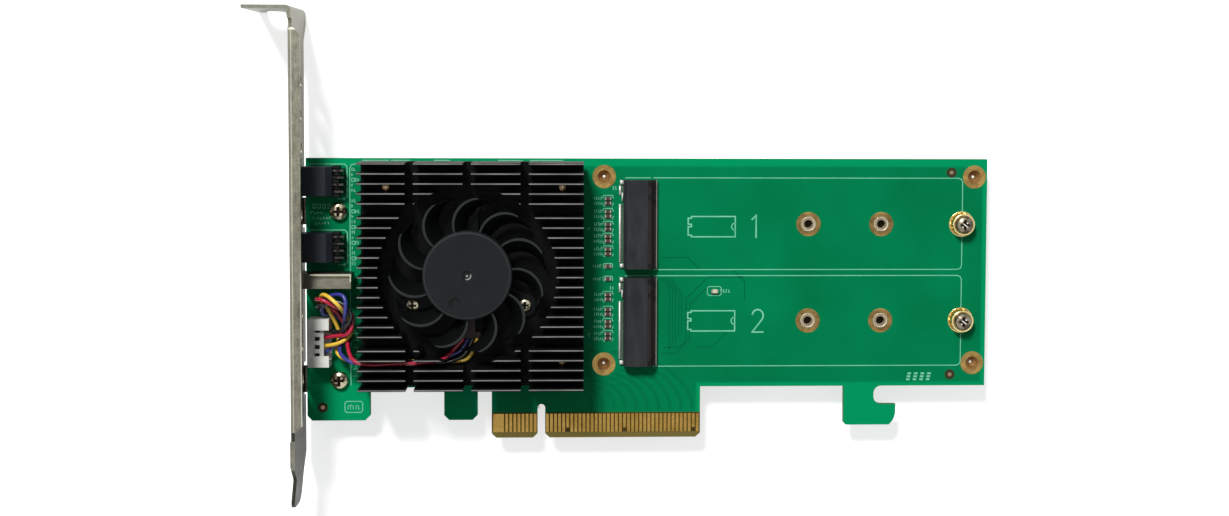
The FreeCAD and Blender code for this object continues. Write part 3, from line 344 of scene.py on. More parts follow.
def give(mat, *names):
    """Lay one material on whole CAD nodes."""
    for name in names:
        mesh = NODES[name].data
        mesh.materials.clear()
        mesh.materials.append(mat)


# ---- finish of the board
MASK_DARK = (0.0, 0.168, 0.058)
MASK_LIGHT = (0.0, 0.215, 0.080)
MASK_THIN = (0.0, 0.290, 0.108)
LAMINATE = (0.215, 0.170, 0.050)
TONGUE_BARE = (0.062, 0.040, 0.010)
WALL_DARK = (0.03, 0.10, 0.035)
WALL_LIGHT = (0.16, 0.19, 0.075)
CONTACT_TOP = 6.0
BEVEL_TOP = 1.45
# Copper planes lie under the mask inside these edges, and again on the contact tongue.
PLANE_X = (-56.2, 108.9)
PLANE_Y = (13.6, 67.0)
TONGUE_X = (-11.0, 38.2)
TONGUE_Y = (CONTACT_TOP, 13.8)
UPPER_BAND_Y = (64.7, 67.0)
UNMASKED_X = (-13.0, 40.0)
CLOTH_PITCH = 2.4
LAYER_PITCH = 0.9


def board_finish():
    """Green mask, and bare laminate between the contacts and on the edges."""
    look = Surface("solder_mask")
    x, y, _ = look.axes()

    # Copper under the mask darkens it; past the planes' edges it is lighter.
    colour = look.blend(look.spread(look.noise(24.0, 2.0), 0.32, 0.68), MASK_DARK, MASK_LIGHT)
    plane = look.times(look.inside(x, *PLANE_X, 0.25), look.inside(y, *PLANE_Y, 0.25))
    tongue = look.times(look.inside(x, *TONGUE_X, 0.3), look.inside(y, *TONGUE_Y, 0.2))
    colour = look.over(colour, MASK_LIGHT, look.inside(y, *UPPER_BAND_Y, 0.1), 0.12)
    colour = look.over(colour, MASK_THIN, look.minus(1.0, look.largest(plane, tongue)))

    # Glass cloth shows faintly through the mask.
    weave = look.times(look.bands("X", CLOTH_PITCH, 0.6), look.bands("Y", CLOTH_PITCH, 0.6))
    colour = look.over(colour, MASK_THIN, weave, 0.05)

    # Between the contacts there is no mask, and the milled edges show the laminate's layers.
    above_bevel = look.spread(y, BEVEL_TOP - 0.05, BEVEL_TOP + 0.05)
    colour = look.over(colour, look.blend(above_bevel, LAMINATE, TONGUE_BARE),
                       look.inside(x, *UNMASKED_X, 0.05),
                       look.fall(y, CONTACT_TOP + 0.25, CONTACT_TOP + 0.35))
    facing = look.add("NewGeometry", {}, "Normal")
    upright = look.add("SeparateXYZ", {"Vector": facing}, "Z")
    side_wall = look.fall(look.math("ABSOLUTE", upright), 0.25, 0.6)
    layers = look.blend(look.bands("Z", LAYER_PITCH), WALL_DARK, WALL_LIGHT)
    colour = look.over(colour, layers, side_wall)
    speckle = look.noise(0.5)
    rough = look.plus(look.vary(speckle, 0.30, 0.42), look.times(side_wall, 0.3))
    relief = look.plus(speckle, look.times(weave, 0.8))
    return look.done(colour, rough, relief, 0.006, specular=0.04)


# ---- finishes of the heatsink, the fan and the bracket
FIN_PITCH = 2.36
FIN_GROUP = 6 * FIN_PITCH
FIN_WIDE_PITCH = 3.35
FIN_SHEEN_HALF = 0.115
GATE_RADIUS = 1.05
BALANCE_RADIUS = 1.22
BALANCE_X = fan_x - 2.70
BALANCE_Y = fan_y - 6.65
FLANGE_LEFT = -58.86
FLANGE_RIGHT = -55.96
FLANGE_LOW = 4.6
FLANGE_HIGH = 99.9
FLANGE_TOP = bracket_high[2]


def sink_finish():
    """Black anodised aluminium, with a painted highlight along the crest of each fin."""
    look = Surface("black_anodised")
    _, y, z = look.axes()
    fine = look.noise(0.35)
    streaks = look.noise(0.7, 3.0, stretch=(0.10, 1.0, 1.0))
    base = look.blend(look.vary(fine), (5, 6, 7), (11, 12, 13))
    away = look.off(y, (sink_low[1] + sink_high[1]) / 2)
    group = look.math("PINGPONG", away, FIN_PITCH / 2)
    outer = look.math("PINGPONG", look.minus(away, FIN_GROUP + FIN_WIDE_PITCH), FIN_PITCH / 2)
    is_outer = look.spread(away, FIN_GROUP + 1.6, FIN_GROUP + 1.7)
    in_group = look.times(group, look.minus(1.0, is_outer))
    off_crest = look.plus(look.times(outer, is_outer), in_group)
    # Painted highlight: a lighter strip along each fin's crest, broken up by streaks.
    crest = look.fall(off_crest, FIN_SHEEN_HALF - 0.04, FIN_SHEEN_HALF + 0.05)
    top = look.spread(z, sink_high[2] - 0.10, sink_high[2] - 0.03)
    streaked_sheen = look.spread(streaks, 0.30, 0.66, 0.45, 1.0)
    colour = look.over(base, (148, 147, 143), top, crest, streaked_sheen)
    return look.done(colour, look.vary(streaks, 0.42, 0.6), look.plus(fine, streaks), 0.006,
                     specular=0.06)


def rotor_finish():
    """Moulded plastic: a satin hub, and blades painted darker as shade, with a painted highlight on
    their top edges.
    """
    look = Surface("rotor_plastic")
    x, y, z = look.axes()
    grain = look.noise(0.22)
    out = look.from_axis(x, y, fan_x, fan_y)
    hub = look.fall(out, HUB_RADIUS - 0.05, HUB_RADIUS + 0.10)
    hub_colour = look.blend(look.vary(look.noise(5.0, 2.0)), (16, 19, 20), (22, 25, 26))
    # Painted shade darkens the blades below the hub; a painted highlight lightens their top edges.
    blade_edge_highlight = look.spread(z, BLADE_TOP - 0.16, BLADE_TOP - 0.03)
    blade_colour = look.blend(blade_edge_highlight, (10, 12, 12), (46, 49, 50))
    colour = look.blend(hub, blade_colour, hub_colour)

    # The gate's dimple is painted dark as shade, with a painted highlight dot and a painted
    # highlight crescent on its lit side.
    colour = look.over(colour, (12, 13, 13), look.fall(out, GATE_RADIUS, 1.30, 0.70))
    lit_side = look.minus(look.minus(x, fan_x), look.minus(y, fan_y))
    crescent = look.times(look.inside(out, 0.70, 0.98, 0.08), look.spread(lit_side, 0.2, 0.8))
    glint = look.largest(look.fall(out, 0.20, 0.34, 0.8), crescent)
    colour = look.over(colour, (158, 164, 164), glint)

    # The balance dimple's shaded side is painted dark as shade, and the hub's rim is a little
    # lighter.
    from_dimple = look.from_axis(x, y, BALANCE_X, BALANCE_Y)
    from_lit_part = look.from_axis(x, y, BALANCE_X + 0.22, BALANCE_Y - 0.30)
    colour = look.over(colour, (8, 9, 9),
                       look.fall(from_dimple, BALANCE_RADIUS, BALANCE_RADIUS + 0.10),
                       look.spread(from_lit_part, 0.80, 1.10), 0.75)
    rim = look.inside(out, HUB_RADIUS - 0.62, HUB_RADIUS - 0.28, 0.12)
    colour = look.over(colour, (74, 80, 80), rim, 0.30)
    return look.done(colour, look.vary(grain, 0.40, 0.52), grain, 0.010, 0.14,
                     specular=look.spread(hub, 0.0, 1.0, 0.05, 0.14))


def bracket_finish():
    """Tin-plated steel: clouded, with fine bright spots of painted glint and rolling streaks."""
    look = Surface("bracket_steel")
    x, y, z = look.axes()
    grain = look.noise(0.35, 3.0, 0.6)
    rolled = look.noise(0.5, 2.0, stretch=(1.0, 0.08, 1.0))
    fine = look.plus(grain, rolled)
    mottle = look.plus(look.times(look.noise(3.2, 5.0, 0.7), 0.5), look.times(fine, 0.25))
    colour = look.blend(look.spread(mottle, 0.36, 0.64), (94, 93, 81), (136, 135, 120))
    speck_glints = look.spread(look.noise(0.28, 1.0), 0.66, 0.74)
    colour = look.over(colour, (176, 173, 160), speck_glints, 0.5)

    # The tongue is painted darker as shade, and the folded tab is painted a paler, flat grey that
    # stands in for its shading.
    colour = look.over(colour, (38, 40, 36), look.fall(y, 8.0, 16.0, 0.85),
                       look.fall(z, FLANGE_TOP - 1.3, FLANGE_TOP - 0.9))
    tab = look.spread(y, bracket_high[1] - 1.2, bracket_high[1] - 0.4, 0.0, 0.7)
    colour = look.over(colour, (112, 112, 107), tab)

    # The flange carries painted highlights along its bend, at its upper end and low on its free
    # edge.
    crown = look.spread(z, FLANGE_TOP - 0.6, FLANGE_TOP - 0.3)
    bend = look.times(look.inside(x, FLANGE_LEFT + 0.75, FLANGE_LEFT + 0.98, 0.12), 0.55)
    end = look.inside(y, FLANGE_HIGH - 0.50, FLANGE_HIGH + 0.1, 0.10)
    free_edge = look.times(look.inside(x, FLANGE_RIGHT - 0.22, FLANGE_RIGHT + 0.1, 0.06),
                           look.fall(y, 38.0, 46.0, 0.8))
    colour = look.over(colour, (212, 209, 196), crown, look.largest(bend, end, free_edge),
                       look.inside(y, FLANGE_LOW, FLANGE_HIGH + 0.2, 0.1))
    return look.done(colour, look.vary(mottle, 0.34, 0.56), fine, 0.014, 0.12, metallic=1.0)


# ---- finishes of rings, pins, screws and sockets
def ring_finish():
    """Gold over copper, darker round the drive inserts."""
    look = Surface("ring_gold")
    _, y, _ = look.axes()
    fine = look.noise(0.4)
    blotch = look.noise(1.6, 3.0)
    patches = look.spread(blotch, 0.32, 0.68)
    bright = look.blend(patches, (128, 104, 56), (172, 142, 84))
    dull = look.blend(patches, (108, 88, 50), (150, 122, 76))
    drive_rows = look.largest(*(look.inside(y, row - 2.6, row + 2.6, 0.1) for row in SOCKET_YS))
    return look.done(look.blend(drive_rows, bright, dull), look.vary(fine, 0.30, 0.46),
                     look.plus(fine, blotch), 0.008, metallic=1.0)


def pin_finish():
    """Mottled brass with painted shade on the rim and a painted highlight in the middle."""
    look = Surface("push_pin_brass")
    x, y, _ = look.axes()
    blotch = look.noise(0.55, 4.0, 0.65)
    out = look.least(*(look.from_axis(x, y, *pin) for pin in PUSH_PINS))
    colour = look.blend(look.spread(blotch, 0.38, 0.62), (62, 46, 26), (182, 152, 108))
    # Painted shade round each pin's rim.
    colour = look.over(colour, (40, 32, 22), look.spread(out, 0.72, 0.92, 0.0, 0.75))
    # Painted highlight in each pin's middle.
    colour = look.over(colour, (214, 202, 176), look.fall(out, 0.18, 0.42, 0.85))
    return look.done(colour, look.vary(blotch, 0.22, 0.5), blotch, 0.05, 0.10, metallic=1.0)


def screw_finish(name, places, reach, half, recess, dark, light):
    """Plated screw steel with a cross recess at each place, painted dark in the recess as shade."""
    look = Surface(name)
    x, y, _ = look.axes()
    grain = look.noise(0.4)
    blotch = look.noise(1.3, 3.0)
    crosses = []
    for centre_x, centre_y in places:
        sides = (look.off(x, centre_x), look.off(y, centre_y))
        along = look.fall(look.largest(*sides), reach, reach + 0.06)
        crosses.append(look.times(along, look.fall(look.least(*sides), half, half + 0.06)))
    colour = look.blend(look.spread(blotch, 0.40, 0.60), dark, light)
    # Painted shade: the cross recess is filled with the dark colour.
    colour = look.over(colour, recess, look.largest(*crosses))
    return look.done(colour, look.vary(grain, 0.24, 0.40), look.plus(grain, blotch), 0.012, 0.10,
                     metallic=1.0)


def socket_finish():
    """Glass-filled plastic, browner inside the mouth."""
    look = Surface("socket_plastic")
    x, _, _ = look.axes()
    grain = look.noise(0.3)
    flow = look.noise(2.2, 3.0, stretch=(1.0, 0.3, 1.0))
    top = look.blend(look.spread(flow, 0.32, 0.68), (33, 35, 37), (47, 49, 51))
    front = look.spread(x, SOCKET_JAW - 0.95, SOCKET_JAW - 0.80)
    top = look.over(top, (34, 27, 26), front, 0.75)
    seam = look.inside(x, SOCKET_JAW - 1.08, SOCKET_JAW - 0.90, 0.05)
    top = look.over(top, (14, 14, 14), seam, 0.8)
    lip = look.spread(x, SOCKET_LIP - 0.28, SOCKET_LIP - 0.16)
    inner = look.blend(lip, (30, 24, 23), (138, 136, 124))
    mouth = look.spread(x, SOCKET_JAW - 0.10, SOCKET_JAW + 0.02)
    return look.done(look.blend(mouth, top, inner), look.vary(grain, 0.45, 0.6), grain, 0.010, 0.10,
                     specular=0.14)


# ---- mesh kit
TRIM = []


def trim(look, slot, smooth=False):
    """Marks a function that builds a piece of trim, which takes its name from it."""
    def keep(build):
        TRIM.append((build, look, slot, smooth))
        return build
    return keep


def add_trim(build, mat, smooth):
    art = bmesh.new()
    build(art)
    art.normal_update()
    mesh = bpy.data.meshes.new(build.__name__)
    art.to_mesh(mesh)
    art.free()
    mesh.materials.append(mat)
    for polygon in mesh.polygons:
        polygon.use_smooth = smooth
    piece = add_object(build.__name__, mesh)
    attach(piece, "card")


def row_of(art, outline, z):
    """Vertices along an outline at one height, in millimetres."""
    return [art.verts.new((x * MM, y * MM, z * MM)) for x, y in outline]


def around(count):
    """Each place round a closed row, with the next one."""
    return [(i, (i + 1) % count) for i in range(count)]


def wall(art, low, high):
    """Quads between two closed rows of vertices."""
    for i, j in around(len(low)):
        art.faces.new((low[i], low[j], high[j], high[i]))


def block(art, low, high):
    """Closed solid between two rows of vertices."""
    art.faces.new(list(reversed(low)))
    art.faces.new(high)
    wall(art, low, high)


def prism(art, outline, z0, z1):
    block(art, row_of(art, outline, z0), row_of(art, outline, z1))


def rectangle(x0, x1, y0, y1):
    return [(x0, y0), (x1, y0), (x1, y1), (x0, y1)]


def box(art, x0, x1, y0, y1, z0, z1):
    prism(art, rectangle(x0, x1, y0, y1), z0, z1)


def mound(art, x0, x1, y0, y1, z0, z1, inset):
    """A block whose top is drawn in on every side."""
    top = rectangle(x0 + inset, x1 - inset, y0 + inset, y1 - inset)
    block(art, row_of(art, rectangle(x0, x1, y0, y1), z0), row_of(art, top, z1))


def stroke(art, points, width, z0, z1, closed=False):
    """A raised line of one width along points, mitred at its corners."""
    last = len(points) - 1
    ways = [(Vector(b) - Vector(a)).normalized() for a, b in zip(points, points[1:] + points[:1])]
    left = []
    right = []
    for i, (x, y) in enumerate(points):
        before = ways[i - 1] if i or closed else ways[i]
        after = ways[i] if i < last or closed else before
        way = (before + after).normalized()
        reach = width / 2 / max(0.5, way.dot(before))
        left.append((x - way.y * reach, y + way.x * reach))
        right.append((x + way.y * reach, y - way.x * reach))
    (ll, lr), (hl, hr) = [[row_of(art, side, z) for side in (left, right)] for z in (z0, z1)]
    for i, j in around(len(points))[:None if closed else last]:
        for quad in ((hl[i], hr[i], hr[j], hl[j]), (ll[j], lr[j], lr[i], ll[i]),
                     (hl[j], ll[j], ll[i], hl[i]), (hr[i], lr[i], lr[j], hr[j])):
            art.faces.new(quad)
    if not closed:
        art.faces.new((hl[0], ll[0], lr[0], hr[0]))
        art.faces.new((hr[-1], lr[-1], ll[-1], hl[-1]))


# ---- printed marks
INK = 0.022
INK_LINE = 0.21
FINE_LINE = 0.17
BAY_LEFT = 27.4
BAY_RIGHT = 103.9
BAY_ROWS = ((17.7, 40.1), (41.6, 64.2))
# Each bay's number, the lower edge of its marks and their right edge.
BAY_SIGNS = ((1, 49.4, 54.3), (2, 26.1, 55.0))
SIGN_LEFT = 36.0
SIGN_WIDTH = 11.6
SIGN_TALL = 5.6
NUMERAL_WIDTH = 3.0
CAPACITOR_X = 16.30
CAPACITOR_YS = (25.30, 28.27, 31.29, 34.97, 46.16, 49.31, 52.23, 55.38, 58.59)
SINGLE_YS = (39.41, 42.54)
INDICATOR_TOPS = (67.46, 51.38)
INDICATOR_RIGHT = -47.15
SINK_MARK_LEFT = -46.5
SINK_MARK_TOP = 67.46
SINK_MARK_LOW = 13.3
SINK_DASHES = ((-43.5, -37.0), (-36.5, -31.9), (-26.1, -22.2), (-10.6, -4.5), (-2.8, 5.3))
# Small print: X, Y and number of strokes, on its own and in three rows between the indicators.
SMALL_PRINT = ((17.6, 61.2, 2), (16.9, 36.7, 2), (44.2, 35.9, 4), (11.6, 51.2, 1), (11.7, 25.0, 1))
ROW_PRINT = ((-55.8, 55.3, 4), (-55.3, 54.0, 6), (-54.8, 52.8, 5))


def numeral(which, x, y, width, height):
    """The stroke of a plain numeral 1 or 2 whose lower left corner is at x, y."""
    if which == 1:
        return [(x + 0.18 * width, y + 0.80 * height), (x + 0.55 * width, y + height),
                (x + 0.55 * width, y)]
    bow = arc(x + width / 2, y + 0.73 * height, 0.46 * width, 0.27 * height, 170, -26, 9)
    return bow + [(x + 0.05 * width, y), (x + width, y)]


def drive_sign(x, y, width, height):
    """A plain outline of a drive with its notched edge and half a fixing hole."""
    inner = x + 0.16 * height
    body = [(inner, y), (x + width, y), (x + width, y + height), (inner, y + height)]
    for high, low in ((0.92, 0.62), (0.50, 0.08)):
        body += [(inner, y + high * height), (x, y + high * height), (x, y + low * height),
                 (inner, y + low * height)]
    return body, arc(x + width, y + height / 2, 0.18 * height, 0.18 * height, 90, 22.5, 9)


def cut_frame(x0, x1, y0, y1, cut_x, cut_y):
    """Rectangle with its four corners cut."""
    return [(x0 + cut_x, y0), (x1 - cut_x, y0), (x1, y0 + cut_y), (x1, y1 - cut_y),
            (x1 - cut_x, y1), (x0 + cut_x, y1), (x0, y1 - cut_y), (x0, y0 + cut_y)]


@trim("printing_ink", "solder_mask")
def printed_marks(art):
    draw = random.Random(7)

    def line(points, width=INK_LINE, closed=False):
        stroke(art, points, width, board_top, board_top + INK, closed)

    def marks(x, y, count, step, height):
        """A row of short uneven strokes: small print too fine to read."""
        for left in [x + i * step for i in range(count)]:
            tall = height * draw.uniform(0.75, 1.0)
            lean = step * draw.uniform(-0.15, 0.15)
            line([(left, y), (left + lean, y + tall)], 0.19)
            if draw.random() < 0.7:
                rise = tall * draw.choice([0.08, 0.5, 0.92])
                line([(left, y + rise), (left + step * 0.62, y + rise)], 0.18)

    # Each drive bay has an open frame, a plain sign and a number.
    for low, high in BAY_ROWS:
        turn = [(BAY_RIGHT - 1.0, low), (BAY_RIGHT - 0.3, low + 0.3), (BAY_RIGHT, low + 1.0)]
        line([(BAY_LEFT, low), *turn, *((x, low + high - y) for x, y in reversed(turn)),
              (BAY_LEFT, high)])
        line([(socket_low[0] + 0.4, high), (BAY_LEFT - 0.6, high)])
    for which, low, right in BAY_SIGNS:
        body, hole = drive_sign(SIGN_LEFT, low + 0.3, SIGN_WIDTH, SIGN_TALL - 0.6)
        line(body, INK_LINE * 1.5, True)
        line(hole, INK_LINE * 1.2)
        line(numeral(which, right - 3.2, low, NUMERAL_WIDTH, SIGN_TALL), INK_LINE * 1.8)

    # Outlines of the heatsink and of the indicators.
    left, top = SINK_MARK_LEFT, SINK_MARK_TOP
    line([(left + 4.0, top), (left + 1.0, top), (left + 0.3, top - 0.3), (left, top - 1.0),
          (left, SINK_MARK_LOW)])
    right = INDICATOR_RIGHT
    for high in INDICATOR_TOPS:
        line([(-56.2, high), (right - 0.6, high), (right, high - 0.6), (right, high - 7.9),
              (right - 0.6, high - 8.5), (-49.6, high - 8.5)])
    for x0, x1 in SINK_DASHES:
        line([(x0, sink_high[1] + 0.05), (x1, sink_high[1] + 0.05)])

    # Small print beside the capacitors, and a bracket above and below each.
    x = CAPACITOR_X
    for y in CAPACITOR_YS:
        for side in (-1, 1):
            edge = y + side * 1.30
            end = edge - side * 0.75
            line([(x - 1.35, end), (x - 1.05, edge), (x + 1.05, edge), (x + 1.35, end)], FINE_LINE)
            marks(x - 3.3, y + side * 0.66 - 0.42, 4, 0.52, 0.84)
    for y in SINGLE_YS:
        line(cut_frame(x - 1.15, x + 1.15, y - 0.6, y + 0.6, 0.25, 0.25), FINE_LINE, True)
        marks(x - 3.5, y - 0.38, 4, 0.52, 0.76)
    for x, y, count in SMALL_PRINT:
        marks(x, y, count, 0.62, 0.95)
    line(cut_frame(40.8, 44.3, 35.2, 37.4, 0.4, 0.5), FINE_LINE, True)

    # Print and places of small parts that aren't fitted, between the indicators.
    for x, y, count in ROW_PRINT:
        marks(x, y, count, 0.78, 0.62)
    for x in [-55.4 + 1.2 * i for i in range(4)]:
        line(rectangle(x, x + 0.6, 56.7, 57.7), FINE_LINE, True)

    # Print, small frames and ticks between the heatsink's outline and the ends of the fins.
    for i in range(19):
        y = 65.8 - i * 1.28
        framed = i % 3 == 2
        if 58.9 < y < 60.2:
            continue
        if framed:
            line(rectangle(left + 0.45, left + 1.15, y, y + 0.75), FINE_LINE, True)
        marks(left + (1.4 if framed else 0.5), y, 2 - i % 2, 0.55, 0.85)
    for y in [26.0 - i * 1.75 for i in range(7)]:
        line([(left + 0.6, y), (left + 1.9, y)], FINE_LINE)
        line([(left + 1.3, y), (left + 1.3, y + 0.8)], FINE_LINE)

    # A framed place near the corner with a few plain strokes, and bold marks by the lower edge.
    line(cut_frame(-48.0, -43.7, 6.54, 9.27, 0.4, 0.4), closed=True)
    marks(-47.3, 7.25, 5, 0.66, 1.25)
    for i in range(4):
        for k in range(3):
            x = 90.4 + i * 1.65 + k * 0.16
            line([(x, 14.2 + k * 0.74), (x + 0.90, 14.2 + k * 0.74)], 0.48)


# ---- tracks, fiducials and solder
TRACK = 0.014
RING_CLEARANCE = 3.40
TONGUE_EDGE = 7.0
FIDUCIALS = ((101.1, 65.6), (101.3, 15.4), (-53.4, 7.8))
# Tracks from the sockets and from the small indicator.
TRACK_RUNS = [
    [(29.4, 20.9), (33.0, 20.9), (36.5, 24.4), (36.5, 33.0), (40.6, 37.0)],
    [(30.2, 22.4), (34.0, 22.4), (35.6, 24.0), (35.6, 34.4), (41.0, 39.8), (50.0, 39.8)],
    [(29.4, 44.6), (36.0, 44.6), (39.0, 41.6), (47.0, 41.6), (50.0, 38.6), (50.0, 34.2)],
    [(38.0, 22.4), (42.0, 22.4), (45.5, 25.9)]]
TRACK_RUNS += [[(x, 39.5), (x + 2.5, 37.0 - i * 0.3), (x + 2.5, 22.0 + i)]
               for i, x in enumerate((29.0, 29.75, 30.5, 31.25, 32.0))]
# Solder fillet on the back: radius, and drop below the board.
FILLET = ((0.85, 0.0), (0.80, 0.10), (0.55, 0.45), (0.38, 0.85))


def sweep(start, end, bulge, count):
    """Quarter-turn that leaves one point along X and arrives at another along Y."""
    (x, y), wide, tall = start, end[0] - start[0], end[1] - start[1]
    turns = [k / (count - 1) * math.pi / 2 for k in range(count)]
    return [(x + wide * math.sin(t), y + tall * (1 - math.cos(t)) + bulge * math.sin(2 * t))
            for t in turns]


def clear_of_holes(line):
    """The stretches of a line that stay outside the rings of the cover holes."""
    stretches = [[]]
    for point in line:
        if all(math.dist(point, hole) > RING_CLEARANCE for hole in COVER_HOLES):
            stretches[-1].append(point)
        elif stretches[-1]:
            stretches.append([])
    return [stretch for stretch in stretches if len(stretch) > 1]


@trim("covered_track", "solder_mask")
def covered_tracks(art):
    """Pairs of tracks that fan out from the contact tongue, and a few single ones."""
    for i in range(10):
        start = (sink_high[0] + 0.6, 21.4 - i * 1.22)
        for part in clear_of_holes(sweep(start, (37.2 - i * 2.75, TONGUE_EDGE), 0.55, 41)):
            for shift in (-0.19, 0.19):
                stroke(art, [(x + shift, y + shift) for x, y in part], 0.20,
                       board_top, board_top + TRACK)
    for run in TRACK_RUNS:
        stroke(art, run, 0.30, board_top, board_top + TRACK)


@trim("covered_track", "solder_mask")
def back_tracks(art):
    """Pairs of tracks up from the tongue, and long single ones."""
    draw = random.Random(11)
    for x in [-9.5 + i * 2.9 for i in range(16)]:
        bend = draw.uniform(9.5, 14.0)
        slant = draw.uniform(2.0, 7.0)
        for left in (x - 0.17, x + 0.17):
            right = left + (slant if x < 16 else -slant)
            stroke(art, [(left, TONGUE_EDGE), (left, bend), (right, bend + slant),
                         (right, bend + slant + 8.0)], 0.16, board_bottom - TRACK, board_bottom)
    for y in [22.0 + i * 7.1 for i in range(6)]:
        stroke(art, [(12.0, y), (24.0, y), (28.0, y + 3.0), (60.0, y + 3.0)], 0.22,
               board_bottom - TRACK, board_bottom)


@trim("bare_laminate", "solder_mask")
def fiducial_clearances(art):
    for x, y in FIDUCIALS:
        prism(art, circle(x, y, 1.25, 40), board_top, board_top + 0.012)


@trim("fiducial_copper", "gold_plating")
def fiducial_dots(art):
    for x, y in FIDUCIALS:
        prism(art, circle(x, y, 0.5, 28), board_top + 0.012, board_top + 0.04)


@trim("tinned_leads", "tinned_leads", True)
def solder_fillets(art):
    """Fillets round the leads that come through to the solder side."""
    feet = {}
    for node in ("header_pins", "led_leads"):
        for vertex in NODES[node].data.vertices:
            tip = vertex.co / MM
            if tip.z < board_bottom - 0.9:
                feet.setdefault((node, round(tip.x / 0.8), round(tip.y / 0.8)), []).append(tip)
    for tips in feet.values():
        middle = sum(tips, Vector()) / len(tips)
        rows = [row_of(art, circle(middle.x, middle.y, radius, 20), board_bottom - drop)
                for radius, drop in FILLET]
        art.faces.new(rows[0])
        art.faces.new(list(reversed(rows[-1])))
        for upper, lower in zip(rows, rows[1:]):
            wall(art, lower, upper)


# ---- fan leads
# Each lead runs out of the plug, round the twisted loop, along the channel between two fins and
# down to the fan's driver board. It has a length, two display colours and a route.
LEAD_RADIUS = 0.48
LEADS = {
    "red": (75.5, (158, 16, 48), (196, 34, 66), [
        (-53.0, 25.4, 3.54), (-49.17, 26.17, 5.54), (-45.54, 26.62, 7.77), (-44.76, 32.02, 6.54),
        (-48.99, 33.32, 8.28), (-51.7, 35.39, 9.91), (-54.5, 35.37, 6.51), (-52.57, 33.47, 3.53),
        (-49.04, 31.52, 3.97), (-46.28, 26.76, 4.38), (-46.89, 24.19, 5.25), (-45.15, 20.67, 9.69),
        (-41.43, 19.7, 10.56), (-34.61, 20.12, 10.66), (-28.59, 20.07, 9.4), (-23.9, 20.65, 9.35),
        (-22.25, 21.6, 8.0), (-20.9, 23.0, 6.15), (-18.52, 25.65, 6.88)]),
    "yellow": (81.4, (222, 178, 44), (244, 206, 82), [
        (-53.0, 23.4, 3.54), (-48.66, 23.92, 6.58), (-44.88, 27.15, 5.23), (-46.77, 31.36, 7.18),
        (-47.81, 34.24, 11.35), (-51.54, 36.89, 8.95), (-53.3, 35.6, 5.63), (-51.61, 32.96, 5.01),
        (-50.14, 30.13, 4.05), (-48.66, 26.18, 2.87), (-50.09, 22.03, 3.13), (-47.05, 20.05, 5.96),
        (-41.37, 19.73, 6.93), (-34.6, 20.07, 7.27), (-28.61, 20.01, 6.04), (-24.41, 19.98, 5.96),
        (-20.79, 19.83, 6.03), (-16.6, 20.6, 6.0), (-15.28, 25.65, 6.88)]),
    "blue": (80.9, (38, 40, 118), (62, 66, 152), [
        (-53.0, 21.4, 3.54), (-48.13, 24.21, 4.17), (-47.54, 28.6, 5.17), (-46.51, 31.19, 10.11),
        (-46.25, 36.76, 9.92), (-50.83, 36.32, 7.02), (-52.36, 33.88, 6.73), (-52.79, 31.07, 5.54),
        (-50.33, 31.4, 2.35), (-45.22, 26.18, 3.14), (-49.41, 23.08, 5.01), (-46.19, 20.12, 8.49),
        (-41.42, 19.75, 9.35), (-34.59, 20.09, 9.61), (-28.59, 19.99, 8.26), (-24.31, 20.35, 8.25),
        (-21.85, 21.4, 6.7), (-18.75, 22.6, 5.8), (-17.44, 25.65, 6.88)]),
    "black": (75.7, (14, 14, 16), (26, 26, 30), [
        (-53.0, 27.4, 3.54), (-48.87, 26.81, 4.42), (-47.53, 27.8, 7.6), (-44.5, 31.3, 8.85),
        (-47.82, 35.01, 7.76), (-51.3, 34.01, 7.79), (-53.78, 33.6, 7.47), (-53.34, 32.32, 3.89),
        (-49.29, 31.81, 1.45), (-46.49, 26.46, 1.32), (-46.75, 23.2, 3.72), (-45.6, 20.88, 6.88),
        (-41.45, 19.44, 8.31), (-34.62, 20.13, 8.41), (-28.61, 19.98, 7.05), (-24.36, 19.63, 7.03),
        (-21.4, 20.05, 6.95), (-17.6, 21.9, 6.3), (-16.36, 25.65, 6.88)])}


def add_lead(colour, length, dark, light, route):
    points = [Vector(place) * MM for place in route]
    data = with_settings(bpy.data.curves.new("lead_" + colour, "CURVE"), dimensions="3D",
                         bevel_depth=LEAD_RADIUS * MM, bevel_resolution=6, resolution_u=12,
                         use_fill_caps=True)
    spline = data.splines.new("NURBS")
    spline.points.add(len(points) - 1)
    for control, point in zip(spline.points, points):
        control.co = (*point, 1.0)
    spline.order_u = 3
    spline.use_endpoint_u = True
    data.materials.append(finish("wire_" + colour, dark, light, (0.28, 0.4),
                                 grain_mm=0.8, blotch_mm=5.0, coat=0.2))
    piece = add_object("lead_" + colour, data)
    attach(piece, "card")
    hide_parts("wire_" + colour)


# ---- trim of the sockets
SOCKET_STEP = 0.5
FEET_BELOW = 29
FEET_ABOVE = 5
FOOT_FROM_END = 1.60
KEY_FROM_END = 4.20
CORNER_FROM_END = 0.60
STOP_FROM_END = 0.85


def foot_places(middle):
    end = SOCKET_HALF - FOOT_FROM_END
    return ([middle - end + i * SOCKET_STEP for i in range(FEET_BELOW)]
            + [middle + end - i * SOCKET_STEP for i in range(FEET_ABOVE)])


@trim("contact_bronze", "gold_plating")
def socket_contacts(art):
    """Sprung contacts that show in each socket's mouth."""
    base = board_top + 1.15
    for middle in SOCKET_YS:
        for y in foot_places(middle):
            mound(art, SOCKET_JAW + 0.10, SOCKET_LIP - 0.34, y - 0.12, y + 0.12, base, base + 0.20,
                  0.05)


